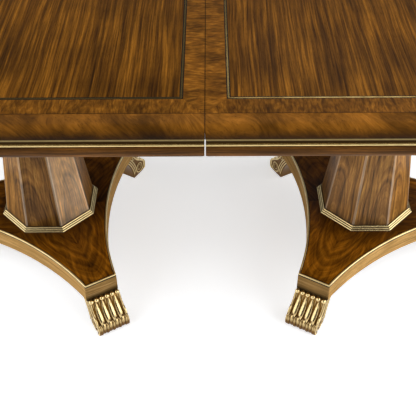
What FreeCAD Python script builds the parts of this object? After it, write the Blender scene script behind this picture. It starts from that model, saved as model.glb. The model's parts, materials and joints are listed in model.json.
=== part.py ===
import FreeCAD
import Part
import Sketcher
import math
import os
import re

# Extending dining table on two pedestals, each with a three-cornered platform and three scroll feet.
# The frame has +Z up and X along the table, and its origin lies on the floor under the middle of the split.
# The right half is modelled where it stands, and the left half is its mirror image.

SIZES = {
    # table top
    "table_height": 762,
    "half_length": 913.9,
    "half_width": 457,
    "split_gap": 0.2,
    "veneer_thickness": 1.5,
    "core_thickness": 30,
    "border_width": 47,
    "split_border": 41.5,
    "ebony_width": 2,
    "brass_width": 3.5,
    # edge of the top, sizes measured outwards from the edge of the flat
    "moulding_reach": 30,
    "moulding_drop": 38,
    "moulding_bulge": 7.5,
    "rim_height": 22,
    "rim_back": 15,
    "rim_band": 22,
    "rim_bead": 2.4,
    "rim_bead_rise": 2.2,
    "rail_height": 27,
    "rail_reach": 19.5,
    "rail_bulge": 4.5,
    "rail_lap": 6,
    "rail_end_round": 5,
    "rail_setback": 1.2,
    # carcase under the top
    "bearer_height": 28,
    "bearer_width": 40,
    "bearer_length": 490,
    "bearer_offset": 170,
    "head_length": 220,
    "head_width": 400,
    "head_thickness": 25,
    # pedestal
    "pedestal_spacing": 891,
    "column_base_width": 234,
    "column_top_width": 114,
    "stave_thickness": 24,
    "collar_width": 254,
    "collar_height": 16.4,
    "collar_fillet": 3.2,
    "collar_bead": 1.3,
    "collar_fit": 0.2,
    "platform_top": 148,
    "platform_thickness": 56,
    "platform_reach": 345.5,
    "platform_waist": 161,
    "platform_side_radius": 806,
    "arris_width": 4,
    "arris_height": 4,
    "arris_proud": 0.5,
    # scroll foot, sizes measured from the platform's end face and from the floor
    "foot_width": 88,
    "foot_depth": 46,
    "knob_radius": 7,
    "knob_fit": 0.3,
    "shoulder_out": 21,
    "shoulder_drop": 20,
    "shoulder_rise": 2,
    "slope_hollow": 3,
    "toe_out": 57,
    "toe_height": 39,
    "toe_rise": 7,
    "tread_out": 50.5,
    "heel_in": 4.5,
    "heel_hollow": 9,
    "reed_count": 6,
    "reed_gap": 2.4,
    "reed_depth": 3,
    # fastenings
    "rod_radius": 6,
    "rod_fit": 0.5,
    "nut_width": 19,
    "nut_height": 10,
    "washer_radius": 14,
    "washer_thickness": 2.5,
    "screw_radius": 2.5,
    "screw_head_radius": 5,
    "screw_head_height": 3,
    "screw_bite": 17,
    "bolt_radius": 4,
    "bolt_bite": 40,
    "bolt_in_foot": 30,
    "bolt_spacing": 44,
    # extension slides
    "slide_travel": 610,
    "runner_side_gap": 67,
    "runner_width": 24,
    "runner_height": 40,
    "runner_start": 20,
    "runner_end_gap": 98,
    "groove_height": 12,
    "groove_depth": 8,
    "slide_clearance": 0.3,
    "middle_runner_width": 22,
    "middle_runner_height": 36,
    "middle_runner_length": 930,
    "tie_thickness": 12,
    "centre_tie_width": 120,
    "side_tie_width": 50,
    "side_tie_offset": 220,
    # rack and pinion
    "tooth_module": 3,
    "pinion_teeth": 20,
    "pressure_angle": 20,
    "gear_backlash": 0.6,
    "gear_thickness": 14,
    "gear_lift": 12,
    "rack_bar_width": 12,
    "rack_tail": 250,
    "rack_pad_length": 80,
    "pinion_pin_radius": 6,
    "running_fit": 0.05,
    # leaf locks and alignment pins
    "lock_side_gap": 37.7,
    "lock_inset": 35,
    "lock_throw": 60,
    "lock_plate_width": 40,
    "lock_plate_thickness": 4,
    "lever_width": 16,
    "lever_length": 90,
    "lever_thickness": 4,
    "lever_boss_radius": 11,
    "lever_knob_radius": 6,
    "lever_knob_height": 14,
    "pivot_radius": 4,
    "pivot_head_radius": 7,
    "pivot_head_height": 5,
    "keeper_pin_radius": 3,
    "keeper_play": 1,
    "keeper_plate_lead": 14,
    "align_pin_radius": 5,
    "align_pin_reach": 18,
    "align_pin_fit": 0.2,
    "align_pin_inner": 120,
    "align_pin_outer": 340,
}

doc = FreeCAD.newDocument("dining_table")
sheet = doc.addObject("Spreadsheet::Sheet", "dims")
for row, (alias, size) in enumerate(SIZES.items(), start=1):
    sheet.set(f"A{row}", alias)
    sheet.set(f"B{row}", str(size))
    sheet.setAlias(f"B{row}", alias)
doc.recompute()

UP = FreeCAD.Vector(0, 0, 1)
ALONG = FreeCAD.Vector(1, 0, 0)
ACROSS = FreeCAD.Vector(0, 1, 0)
MITRE = "1"
OCTAGON_SIDES = 8
OCTAGON_MITRE = "tan(22.5)"
LEG_TURNS = {"outer": 0, "rear": 120, "front": 240}
CUT_PAST = 1.5
DEDENDUM = 1.25
RUNNER_SCREW_SHARES = (0.1, 0.5, 0.9)
word = re.compile(r"[a-z][a-z_]*")
parts = []


def formula(text):
    """Returns a size formula in the form that an object of the document reads from the sheet."""
    return word.sub(lambda found: "dims." + found.group() if found.group() in SIZES else found.group(), text)


def number(text):
    """Returns the value of a size formula."""
    return float(sheet.evalExpression(formula(text)))


def bind(item, **formulas):
    """Binds properties of an object to size formulas."""
    for name, text in formulas.items():
        item.setExpression(name, formula(text))


def place(item, x="0", y="0", z="0", axis=UP, turn=0):
    """Turns an object about an axis and binds its place to size formulas."""
    item.Placement = FreeCAD.Placement(FreeCAD.Vector(), FreeCAD.Rotation(axis, turn))
    for name, text in (("x", x), ("y", y), ("z", z)):
        item.setExpression("Placement.Base." + name, formula(text))
    return item


def box(name, x, y, z):
    """Makes a box from three pairs of formulas, each the low and the high side."""
    item = doc.addObject("Part::Box", name)
    for side, (low, high) in (("Length", x), ("Width", y), ("Height", z)):
        item.setExpression(side, formula(f"{high} - ({low})"))
    return place(item, x[0], y[0], z[0])


def cylinder(name, radius, height, x, y, z, axis=UP, turn=0):
    """Makes a cylinder that stands on the given point."""
    item = doc.addObject("Part::Cylinder", name)
    bind(item, Radius=radius, Height=height)
    return place(item, x, y, z, axis, turn)


def combine(kind, name, base, *tools):
    """Cuts tools from a base, or fuses them with it."""
    item = doc.addObject(kind, name)
    item.Base = base
    item.Tool = tools[0] if len(tools) == 1 else group(name + "_tools", *tools)
    return item


def group(name, *items):
    """Keeps separate solids together in one object."""
    item = doc.addObject("Part::Compound", name)
    item.Links = list(items)
    return item


def mirror(name, source, normal):
    """Makes the mirror image of an object in a plane through the origin."""
    item = doc.addObject("Part::Mirroring", name)
    item.Source = source
    item.Normal = normal
    return item


def copy(name, source, x="0", y="0", z="0", turn=0):
    """Makes a copy of an object that follows it, at another place."""
    item = doc.addObject("App::Link", name)
    item.LinkedObject = source
    return place(item, x, y, z, UP, turn)


def sub_part(label, item):
    """Lists an object as a finished piece under the name of its file."""
    item.Label = label
    parts.append(item)
    return item


def both_halves(name, item):
    """Lists a piece of the right half and its mirror image in the left half."""
    sub_part(name + "_right", item)
    sub_part(name + "_left", mirror(name + "_image", item, ALONG))


def bow_radius(start, end, rise):
    """Returns the formula for the radius of an arc between two corners, from its rise at the middle."""
    chord = f"(({end[0]} - ({start[0]}))^2 + ({end[1]} - ({start[1]}))^2)"
    return f"({chord} / 8 / {rise} + {rise} / 2)"


def arc_edge(start, end, radius, side):
    """Returns the arc of under a half circle between two points, on the left (1) or right (-1) of the way."""
    chord = end - start
    reach = chord.Length / 2
    left = FreeCAD.Vector(-chord.y, chord.x, 0).normalize()
    centre = (start + end) * 0.5 - left * (side * math.sqrt(radius ** 2 - reach ** 2))
    first, last = (end, start) if side > 0 else (start, end)
    angles = [math.atan2(spot.y - centre.y, spot.x - centre.x) for spot in (first, last)]
    if angles[1] < angles[0]:
        angles[1] += 2 * math.pi
    return Part.ArcOfCircle(Part.Circle(centre, UP, radius), *angles)


def sketch_on(body, plane, corners, offset="0"):
    """Draws a closed outline on a plane of a body, with every corner and radius bound to its formula.

    A corner is (x, y), followed by a straight edge, or (x, y, radius, side), followed by an arc.
    """
    sketch = body.newObject("Sketcher::SketchObject", body.Name + "_outline")
    support = [feature for feature in body.Origin.OriginFeatures if feature.Role == plane]
    sketch.AttachmentSupport = [(support[0], "")]
    sketch.MapMode = "FlatFace"
    sketch.setExpression("AttachmentOffset.Base.z", formula(offset))
    spots = [FreeCAD.Vector(number(corner[0]), number(corner[1]), 0) for corner in corners]
    ends = []
    for index, corner in enumerate(corners):
        start, end = spots[index], spots[(index + 1) % len(spots)]
        if len(corner) == 2:
            sketch.addGeometry(Part.LineSegment(start, end))
            ends.append((1, 2))
        else:
            sketch.addGeometry(arc_edge(start, end, number(corner[2]), corner[3]))
            ends.append((2, 1) if corner[3] > 0 else (1, 2))
    for index in range(len(corners)):
        after = (index + 1) % len(corners)
        sketch.addConstraint(Sketcher.Constraint("Coincident", index, ends[index][1], after, ends[after][0]))
    for index, corner in enumerate(corners):
        for kind, text, value in zip(("DistanceX", "DistanceY"), corner, spots[index]):
            rule = Sketcher.Constraint(kind, -1, 1, index, ends[index][0], value)
            sketch.setExpression(f"Constraints[{sketch.addConstraint(rule)}]", formula(text))
        if len(corner) > 2:
            rule = Sketcher.Constraint("Radius", index, number(corner[2]))
            sketch.setExpression(f"Constraints[{sketch.addConstraint(rule)}]", formula(corner[2]))
    return sketch


def pad(body, outline, length, symmetric=False):
    """Pads an outline by a length, or by half of it to each side."""
    feature = body.newObject("PartDesign::Pad", body.Name + "_pad")
    feature.Profile = outline
    bind(feature, Length=length)
    if symmetric:
        feature.SideType = "Symmetric"
    return feature


def pocket_through(body, outline):
    """Cuts an outline through the whole body, both ways."""
    feature = body.newObject("PartDesign::Pocket", body.Name + "_pocket")
    feature.Profile = outline
    feature.SideType = "Two sides"
    feature.Type = "ThroughAll"
    feature.Type2 = "ThroughAll"
    return feature


def slab(name, corners, low, high, hole=None):
    """Makes a flat piece of an outline between two heights, with an optional hole through it."""
    body = doc.addObject("PartDesign::Body", name)
    pad(body, sketch_on(body, "XY_Plane", corners, low), f"{high} - ({low})")
    if hole:
        pocket_through(body, sketch_on(body, "XY_Plane", hole, low))
    return body


def moulding_run(name, profile, reach, length, start=None, end=None):
    """Makes one straight length of a section, run along its own X, with Y outwards.

    Its length holds at Y = 0. An end is square, or mitred with the tangent of the mitre angle given, so
    that the run grows longer outwards.
    """
    body = doc.addObject("PartDesign::Body", name)
    before = f"{reach} * {CUT_PAST}" if start else "0"
    after = f"{reach} * {CUT_PAST}" if end else "0"
    pad(body, sketch_on(body, "YZ_Plane", profile, f"-({before})"), f"{length} + {before} + {after}")
    wide = f"({reach} * {CUT_PAST})"
    far = f"({reach} * {CUT_PAST * 2})"
    if start:
        wedge = [(f"{wide} * {start}", f"-{wide}"), (f"-{wide} * {start}", wide),
                 (f"-{far}", wide), (f"-{far}", f"-{wide}")]
        pocket_through(body, sketch_on(body, "XY_Plane", wedge))
    if end:
        wedge = [(f"{length} - {wide} * {end}", f"-{wide}"), (f"{length} + {far}", f"-{wide}"),
                 (f"{length} + {far}", wide), (f"{length} + {wide} * {end}", wide)]
        pocket_through(body, sketch_on(body, "XY_Plane", wedge))
    return body


# heights and places that several pieces share
CORE_TOP = "(table_height - veneer_thickness)"
CORE_BOTTOM = "(table_height - veneer_thickness - core_thickness)"
SPLIT = "(split_gap / 2)"
FLAT_END = "(split_gap / 2 + half_length - moulding_reach)"
FLAT_SIDE = "(half_width - moulding_reach)"
FLAT_RUN = "(half_length - moulding_reach)"
MOULDING_BOTTOM = "(table_height - moulding_drop)"
RIM_BOTTOM = "(table_height - moulding_drop - rim_height)"
RAIL_BOTTOM = "(table_height - moulding_drop - rim_height - rail_height)"
HEAD_TOP = f"({CORE_BOTTOM} - bearer_height)"
HEAD_BOTTOM = f"({HEAD_TOP} - head_thickness)"
PEDESTAL = "(pedestal_spacing / 2)"
PIN_LEVEL = f"({CORE_TOP} - core_thickness / 2)"
PIN_PLACES = ["-align_pin_outer", "-align_pin_inner", "align_pin_inner", "align_pin_outer"]
PLATFORM_BOTTOM = "(platform_top - platform_thickness)"
RUNNER_SIDE = "(half_width - moulding_reach - rail_lap - runner_side_gap - runner_width)"
MIDDLE_SIDE = f"({RUNNER_SIDE} - slide_clearance - middle_runner_width)"
LOCK_SIDE = f"({MIDDLE_SIDE} - lock_side_gap - lock_plate_width / 2)"


def flat_strip(width):
    """Returns the section of a veneer strip that lies on the core, inwards from its outer edge."""
    inner = f"-({width})"
    return [("0", CORE_TOP), ("0", "table_height"), (inner, "table_height"), (inner, CORE_TOP)]


def rectangle_frame(name, inset, width, split_width=None):
    """Makes four flat strips, mitred at the corners, round the veneered top of the right half.

    The inset runs from the edge of the flat, and split_width is the width of the strip along the split
    where it differs from the others.
    """
    near = split_width or width
    start = SPLIT if inset == "0" else f"({SPLIT} + split_border + {inset} - border_width)"
    run = f"({FLAT_END} - {inset} - {start})"
    side = f"({FLAT_SIDE} - {inset})"
    slant = f"({near}) / ({width})"
    back_slant = f"({width}) / ({near})"
    long_strip, split_strip = flat_strip(width), flat_strip(near)
    rear = moulding_run(name + "_rear", long_strip, width, run, slant, MITRE)
    outer = moulding_run(name + "_end", long_strip, width, f"{side} * 2", MITRE, MITRE)
    front = moulding_run(name + "_front", long_strip, width, run, MITRE, slant)
    split = moulding_run(name + "_split", split_strip, near, f"{side} * 2", back_slant, back_slant)
    place(rear, start, side)
    place(outer, f"{FLAT_END} - {inset}", side, turn=-90)
    place(front, f"{FLAT_END} - {inset}", f"-{side}", turn=180)
    place(split, start, f"-{side}", turn=90)
    return [rear, outer, front, split]


def edge_runs(name, profile, reach, setback="0"):
    """Makes the rear, end and front lengths of a section that edges the top, mitred at the outer corners.

    The setback is how far the rear and front lengths stop short of the board's edge at the split.
    """
    run = f"({FLAT_RUN} - {setback})"
    rear = moulding_run(name + "_rear", profile, reach, run, None, MITRE)
    outer = moulding_run(name + "_end", profile, reach, f"{FLAT_SIDE} * 2", MITRE, MITRE)
    front = moulding_run(name + "_front", profile, reach, run, MITRE, None)
    place(rear, f"{SPLIT} + {setback}", FLAT_SIDE)
    place(outer, FLAT_END, FLAT_SIDE, turn=-90)
    place(front, FLAT_END, f"-{FLAT_SIDE}", turn=180)
    return rear, outer, front


def round_rail_end(body, station, inward):
    """Rounds the lower corner of a rail at its square end, where the halves of the table meet.

    The station is the end's place along the run, and inward is 1 or -1, the way along it into the wood.
    """
    inner = f"({station} + rail_end_round * {inward})"
    outer = f"({station} - rail_end_round * {inward})"
    low = f"({RAIL_BOTTOM} - rail_end_round)"
    high = f"({RAIL_BOTTOM} + rail_end_round)"
    corner = [(outer, low), (inner, low), (inner, RAIL_BOTTOM, "rail_end_round", inward), (station, high),
              (outer, high)]
    pocket_through(body, sketch_on(body, "XZ_Plane", corner))


def make_top():
    """Makes the veneered board of each half with its inlay, edge mouldings, brass rim and lower rail."""
    board = box("core_board", (SPLIT, FLAT_END), (f"-{FLAT_SIDE}", FLAT_SIDE), (CORE_BOTTOM, CORE_TOP))
    bore_radius, bore_depth = "align_pin_radius + align_pin_fit", "align_pin_reach + split_gap"
    bores = [cylinder("pin_bore", bore_radius, bore_depth, SPLIT, y, PIN_LEVEL, ACROSS, 90) for y in PIN_PLACES]
    both_halves("top_core", combine("Part::Cut", "top_core", board, *bores))

    border = rectangle_frame("border", "0", "border_width", "split_border")
    both_halves("border_veneer", group("border", *border))
    outer_line = rectangle_frame("outer_line", "border_width", "ebony_width")
    inner_line = rectangle_frame("inner_line", "(border_width + ebony_width + brass_width)", "ebony_width")
    both_halves("ebony_lines", group("ebony", *outer_line, *inner_line))
    brass = rectangle_frame("string", "(border_width + ebony_width)", "brass_width")
    both_halves("brass_string", group("string", *brass))
    string = "(ebony_width * 2 + brass_width)"
    field_side = f"({FLAT_SIDE} - border_width - {string})"
    field = box("field", (f"{SPLIT} + split_border + {string}", f"{FLAT_END} - border_width - {string}"),
                (f"-{field_side}", field_side), (CORE_TOP, "table_height"))
    both_halves("field_veneer", field)

    lip, foot = ("0", "table_height"), ("moulding_reach", MOULDING_BOTTOM)
    ovolo = [("0", MOULDING_BOTTOM), (*lip, bow_radius(lip, foot, "moulding_bulge"), 1), foot]
    both_halves("edge_moulding", group("moulding", *edge_runs("moulding", ovolo, "moulding_reach")))

    bead_low, bead_high = ("rim_band", RIM_BOTTOM), ("rim_band", f"{RIM_BOTTOM} + rim_bead * 2")
    thin_low = ("rim_band", f"{MOULDING_BOTTOM} - rim_bead * 2")
    thin_high = ("rim_band", f"{MOULDING_BOTTOM} - rim_bead")
    bead_bow = bow_radius(bead_low, bead_high, "rim_bead_rise")
    rim = [("rim_back", RIM_BOTTOM), (*bead_low, bead_bow, -1), bead_high,
           (*thin_low, bow_radius(thin_low, thin_high, "(rim_bead_rise / 2)"), -1), thin_high,
           ("rim_band", MOULDING_BOTTOM), ("rim_back", MOULDING_BOTTOM)]
    both_halves("brass_rim", group("rim", *edge_runs("rim", rim, "rim_band", "rail_setback")))

    rail_foot, rail_head = ("rail_reach", RAIL_BOTTOM), ("rail_reach", RIM_BOTTOM)
    rail_bow = bow_radius(rail_foot, rail_head, "rail_bulge")
    rail = [("-rail_lap", RAIL_BOTTOM), (*rail_foot, rail_bow, -1), rail_head, ("rim_back", RIM_BOTTOM),
            ("rim_back", MOULDING_BOTTOM), ("0", MOULDING_BOTTOM), ("0", CORE_BOTTOM),
            ("-rail_lap", CORE_BOTTOM)]
    rear, outer, front = edge_runs("rail", rail, "(rail_reach + rail_bulge)", "rail_setback")
    round_rail_end(rear, "0", 1)
    round_rail_end(front, f"({FLAT_RUN} - rail_setback)", -1)
    both_halves("lower_rail", group("rail", rear, outer, front))


def triform(inset):
    """Returns the platform's outline, three flat ends joined by three hollow sides, drawn in by an inset."""
    end = f"(platform_reach - {inset})"
    hub = "(platform_waist + platform_side_radius)"
    radius = f"(platform_side_radius + {inset})"
    half = f"({hub} * sin(60) - sqrt({radius}^2 - ({end} - {hub} / 2)^2))"
    corners = []
    for turn in LEG_TURNS.values():
        across, along = f"cos({turn})", f"sin({turn})"
        corners.append((f"{end} * {across} + {half} * {along}", f"{end} * {along} - {half} * {across}"))
        corners.append((f"{end} * {across} - {half} * {along}", f"{end} * {along} + {half} * {across}",
                        radius, 1))
    return corners


def platform_ring(name, outer, inner, low, high):
    """Makes a closed strip of the platform's outline between two insets and two heights."""
    return place(slab(name, triform(outer), low, high, triform(inner)), PEDESTAL)


def make_platform():
    """Makes the three-cornered platform, its veneers and the brass and ebony lines round its upper arris."""
    arris_bottom = "(platform_top - arris_height)"
    ground = "(platform_top - veneer_thickness)"
    line = "(arris_width + ebony_width)"
    lower = place(slab("lower_board", triform("veneer_thickness"), PLATFORM_BOTTOM, arris_bottom), PEDESTAL)
    upper = place(slab("upper_board", triform("arris_width"), arris_bottom, ground), PEDESTAL)
    bore = cylinder("rod_bore", "rod_radius + rod_fit", "platform_thickness", PEDESTAL, "0", PLATFORM_BOTTOM)
    recess = cylinder("nut_recess", "washer_radius + rod_fit", "nut_height + washer_thickness",
                      PEDESTAL, "0", PLATFORM_BOTTOM)
    board = combine("Part::Fuse", "platform_board", lower, upper)
    both_halves("platform_core", combine("Part::Cut", "platform_core", board, bore, recess))
    both_halves("platform_edge_veneer", platform_ring(
        "edge_veneer", "0", "veneer_thickness", PLATFORM_BOTTOM, f"{arris_bottom} - ebony_width"))
    both_halves("platform_ebony_lines", group(
        "platform_ebony",
        platform_ring("side_line", "0", "veneer_thickness", f"{arris_bottom} - ebony_width", arris_bottom),
        platform_ring("top_line", "arris_width", line, ground, "platform_top")))
    both_halves("platform_brass_arris", platform_ring(
        "brass_arris", "0", "arris_width", arris_bottom, "platform_top + arris_proud"))
    top = place(slab("top_veneer", triform(line), ground, "platform_top"), PEDESTAL)
    hole = cylinder("veneer_bore", "rod_radius + rod_fit", "veneer_thickness", PEDESTAL, "0", ground)
    both_halves("platform_top_veneer", combine("Part::Cut", "platform_veneer", top, hole))


def octagon_ring(name, piece):
    """Sets eight copies of one mitred piece round the pedestal's axis."""
    turns = [360 / OCTAGON_SIDES * index for index in range(OCTAGON_SIDES)]
    return group(name, *[copy(name + "_copy", piece, PEDESTAL, turn=turn) for turn in turns])


def make_column():
    """Makes the tapered eight-sided column of mitred staves, with its reeded collar, head and tie rod."""
    body = doc.addObject("PartDesign::Body", "stave")
    sections = []
    for width, height in (("column_base_width", "platform_top"), ("column_top_width", HEAD_BOTTOM)):
        outer, inner = f"({width} / 2)", f"({width} / 2 - stave_thickness)"
        corners = [(f"-{inner} * {OCTAGON_MITRE}", inner), (f"{inner} * {OCTAGON_MITRE}", inner),
                   (f"{outer} * {OCTAGON_MITRE}", outer), (f"-{outer} * {OCTAGON_MITRE}", outer)]
        sections.append(sketch_on(body, "XY_Plane", corners, height))
    loft = body.newObject("PartDesign::AdditiveLoft", "stave_loft")
    loft.Profile = sections[0]
    loft.Sections = [sections[1]]
    loft.Ruled = True
    both_halves("column_staves", octagon_ring("staves", body))

    taper = f"((column_base_width - column_top_width) / 2 / ({HEAD_BOTTOM} - platform_top))"
    back_low = "(column_base_width / 2 + collar_fit)"
    back_high = f"({back_low} - collar_height * {taper})"
    front, lip = "(collar_width / 2)", f"({back_high} + collar_bead)"
    step = f"(({front} - {lip}) / 3)"
    lift = "((collar_height - collar_fillet) / 3)"
    foot = "(platform_top + collar_fillet)"
    beads = [(f"{front} - {step} * {index}", f"{foot} + {lift} * {index}") for index in range(4)]
    rounded = [(*low, bow_radius(low, high, "collar_bead"), -1) for low, high in zip(beads, beads[1:])]
    collar = [(back_low, "platform_top"), (front, "platform_top"), *rounded, beads[-1],
              (back_high, "platform_top + collar_height")]
    run = moulding_run("collar_run", collar, front, "0", OCTAGON_MITRE, OCTAGON_MITRE)
    both_halves("column_collar", octagon_ring("collar", run))

    block = box("head_block", (f"{PEDESTAL} - head_length / 2", f"{PEDESTAL} + head_length / 2"),
                ("-head_width / 2", "head_width / 2"), (HEAD_BOTTOM, HEAD_TOP))
    bore = cylinder("head_bore", "rod_radius + rod_fit", "head_thickness", PEDESTAL, "0", HEAD_BOTTOM)
    both_halves("column_head", combine("Part::Cut", "column_head", block, bore))

    rod_low = f"({PLATFORM_BOTTOM} + rod_fit)"
    rod_high = f"({HEAD_TOP} + washer_thickness + nut_height)"
    pieces = [cylinder("tie_rod", "rod_radius", f"{rod_high} - {rod_low}", PEDESTAL, "0", rod_low)]
    for name, washer_at, nut_at in (
            ("lower", f"{PLATFORM_BOTTOM} + nut_height", PLATFORM_BOTTOM),
            ("upper", HEAD_TOP, f"{HEAD_TOP} + washer_thickness")):
        disc = cylinder(name + "_disc", "washer_radius", "washer_thickness", PEDESTAL, "0", washer_at)
        eye = cylinder(name + "_eye", "rod_radius + rod_fit", "washer_thickness", PEDESTAL, "0", washer_at)
        pieces.append(combine("Part::Cut", name + "_washer", disc, eye))
        hexagon = doc.addObject("Part::Prism", name + "_hexagon")
        hexagon.Polygon = 6
        bind(hexagon, Circumradius="nut_width / sqrt(3)", Height="nut_height")
        place(hexagon, PEDESTAL, "0", nut_at)
        thread = cylinder(name + "_thread", "rod_radius + running_fit", "nut_height", PEDESTAL, "0", nut_at)
        pieces.append(combine("Part::Cut", name + "_nut", hexagon, thread))
    both_halves("tie_rod", group("tie_rod_set", *pieces))


def foot_profile():
    """Returns the side view of a scroll foot: knob, shoulder, hollow slope, toe, tread and hollow heel."""
    def at(out, height):
        return f"(platform_reach + {out})", height

    knob = "(knob_fit + knob_radius)"
    knob_low = at(f"{knob} + knob_radius * cos(45)", f"({PLATFORM_BOTTOM} - knob_radius * sin(45))")
    shoulder = at("shoulder_out", f"({PLATFORM_BOTTOM} - shoulder_drop)")
    toe = at("toe_out", "toe_height")
    tread, heel = at("tread_out", "0"), at("-heel_in", "0")
    back = at("-foot_depth", PLATFORM_BOTTOM)
    return [back, (*at("knob_fit", PLATFORM_BOTTOM), "knob_radius", 1),
            (*at(knob, f"({PLATFORM_BOTTOM} + knob_radius)"), "knob_radius", 1),
            (*knob_low, bow_radius(knob_low, shoulder, "shoulder_rise"), 1),
            (*shoulder, bow_radius(shoulder, toe, "slope_hollow"), -1),
            (*toe, bow_radius(toe, tread, "toe_rise"), 1), tread,
            (*heel, bow_radius(heel, back, "heel_hollow"), -1)]


def reed_gap_profile():
    """Returns the side view of the narrow channel between two reeds, from the shoulder to the tread."""
    inner_shoulder = ("(platform_reach + shoulder_out - reed_depth)", f"({PLATFORM_BOTTOM} - shoulder_drop)")
    inner_toe = ("(platform_reach + toe_out - reed_depth)", "toe_height - reed_depth / 2")
    inner_tread = ("(platform_reach + tread_out - reed_depth)", "0")
    clear = "(platform_reach + toe_out + toe_rise * 2)"
    return [(*inner_shoulder, bow_radius(inner_shoulder, inner_toe, "slope_hollow"), -1),
            (*inner_toe, bow_radius(inner_toe, inner_tread, "toe_rise"), 1), inner_tread,
            (clear, "0"), (clear, f"({PLATFORM_BOTTOM} - shoulder_drop)")]


def make_feet():
    """Makes the three reeded scroll feet of a pedestal, with the bolts that hold them to the platform."""
    body = doc.addObject("PartDesign::Body", "scroll_foot")
    pad(body, sketch_on(body, "XZ_Plane", foot_profile()), "foot_width", symmetric=True)
    pitch = "(foot_width / reed_count)"
    outline = sketch_on(body, "XZ_Plane", reed_gap_profile(), f"{pitch} * (reed_count / 2 - 1)")
    doc.recompute()
    channel = body.newObject("PartDesign::Pocket", "reed_channel")
    channel.Profile = outline
    channel.SideType = "Symmetric"
    bind(channel, Length="reed_gap")
    doc.recompute()
    pattern = body.newObject("PartDesign::LinearPattern", "reed_channels")
    pattern.Originals = [channel]
    cross_axis = [feature for feature in body.Origin.OriginFeatures if feature.Role == "Y_Axis"]
    pattern.Direction = (cross_axis[0], [""])
    bind(pattern, Length=f"{pitch} * (reed_count - 2)", Occurrences="reed_count - 1")
    body.Tip = pattern
    bolts = []
    for name, turn in LEG_TURNS.items():
        turned = copy("foot_copy", body, PEDESTAL, turn=turn)
        both_halves(f"scroll_foot_{name}", group(f"foot_{name}", turned))
        for sign in ("-", ""):
            reach, side = "(platform_reach - foot_depth / 2)", f"({sign}bolt_spacing / 2)"
            bolts.append(cylinder("foot_bolt", "bolt_radius", "bolt_in_foot + bolt_bite",
                                  f"{PEDESTAL} + {reach} * cos({turn}) - {side} * sin({turn})",
                                  f"{reach} * sin({turn}) + {side} * cos({turn})",
                                  f"{PLATFORM_BOTTOM} - bolt_in_foot"))
    both_halves("foot_bolts", group("bolts", *bolts))


def screw(name, length):
    """Makes a countersunk wood screw that points up from its head at the origin."""
    head = doc.addObject("Part::Cone", name + "_head")
    bind(head, Radius1="screw_head_radius", Radius2="screw_radius", Height="screw_head_height")
    shank = cylinder(name + "_shank", "screw_radius", length, "0", "0", "0")
    return combine("Part::Fuse", name, head, shank)


def make_carcase():
    """Makes the bearers that carry each half on its column, its fixed runners and all its wood screws."""
    bearers, runners, screws = [], [], []
    bearer_x = (f"{PEDESTAL} - bearer_length / 2", f"{PEDESTAL} + bearer_length / 2")
    runner_bottom = f"({CORE_BOTTOM} - runner_height)"
    groove = f"({CORE_BOTTOM} - runner_height / 2)"
    head_screw = screw("head_screw", "head_thickness + screw_bite")
    bearer_screw = screw("bearer_screw", "bearer_height + screw_bite")
    runner_screw = screw("runner_screw", "runner_height + screw_bite")
    bearer = box("bearer", bearer_x, ("bearer_offset - bearer_width / 2", "bearer_offset + bearer_width / 2"),
                 (HEAD_TOP, CORE_BOTTOM))
    runner_end = f"({FLAT_END} - rail_lap - runner_end_gap)"
    runner_x = ("runner_start", runner_end)
    bar = box("runner_bar", runner_x, (RUNNER_SIDE, f"{RUNNER_SIDE} + runner_width"),
              (runner_bottom, CORE_BOTTOM))
    channel = box("runner_groove", runner_x, (RUNNER_SIDE, f"{RUNNER_SIDE} + groove_depth"),
                  (f"{groove} - groove_height / 2", f"{groove} + groove_height / 2"))
    runner = combine("Part::Cut", "runner", bar, channel)
    bearers += [bearer, mirror("front_bearer", bearer, ACROSS)]
    runners += [runner, mirror("front_runner", runner, ACROSS)]
    for sign in ("-", ""):
        for end in ("-", "+"):
            screws.append(copy("head_screw_copy", head_screw, f"{PEDESTAL} {end} head_length / 3",
                               f"{sign}bearer_offset", HEAD_BOTTOM))
            screws.append(copy("bearer_screw_copy", bearer_screw, f"{PEDESTAL} {end} bearer_length * 2 / 5",
                               f"{sign}bearer_offset", HEAD_TOP))
        for share in RUNNER_SCREW_SHARES:
            screws.append(copy("runner_screw_copy", runner_screw,
                               f"runner_start + ({runner_end} - runner_start) * {share}",
                               f"{sign}({RUNNER_SIDE} + (runner_width + groove_depth) / 2)", runner_bottom))
    both_halves("bearers", group("bearer_pair", *bearers))
    both_halves("fixed_runners", group("runner_pair", *runners))
    both_halves("wood_screws", group("screws", *screws))


def involute(angle):
    """Returns the involute function of an angle in radians."""
    return math.tan(angle) - angle


def pinion_outline(pitch_radius, module, teeth, pressure, backlash):
    """Returns the corners of an involute pinion, with one tooth on the Y axis."""
    base = pitch_radius * math.cos(pressure)
    half_tooth = math.pi / 2 / teeth - backlash / 4 / pitch_radius + involute(pressure)
    radii = [base, pitch_radius, pitch_radius + module / 2, pitch_radius + module]
    flank = [(radius, half_tooth - involute(math.acos(base / radius))) for radius in radii]
    flank.insert(0, (pitch_radius - DEDENDUM * module, flank[0][1]))
    corners = []
    for tooth in range(teeth):
        middle = math.pi / 2 + 2 * math.pi * tooth / teeth
        for side, points in ((-1, flank), (1, flank[::-1])):
            for radius, angle in points:
                turn = middle + side * angle
                corners.append(FreeCAD.Vector(radius * math.cos(turn), radius * math.sin(turn), 0))
    return corners


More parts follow.
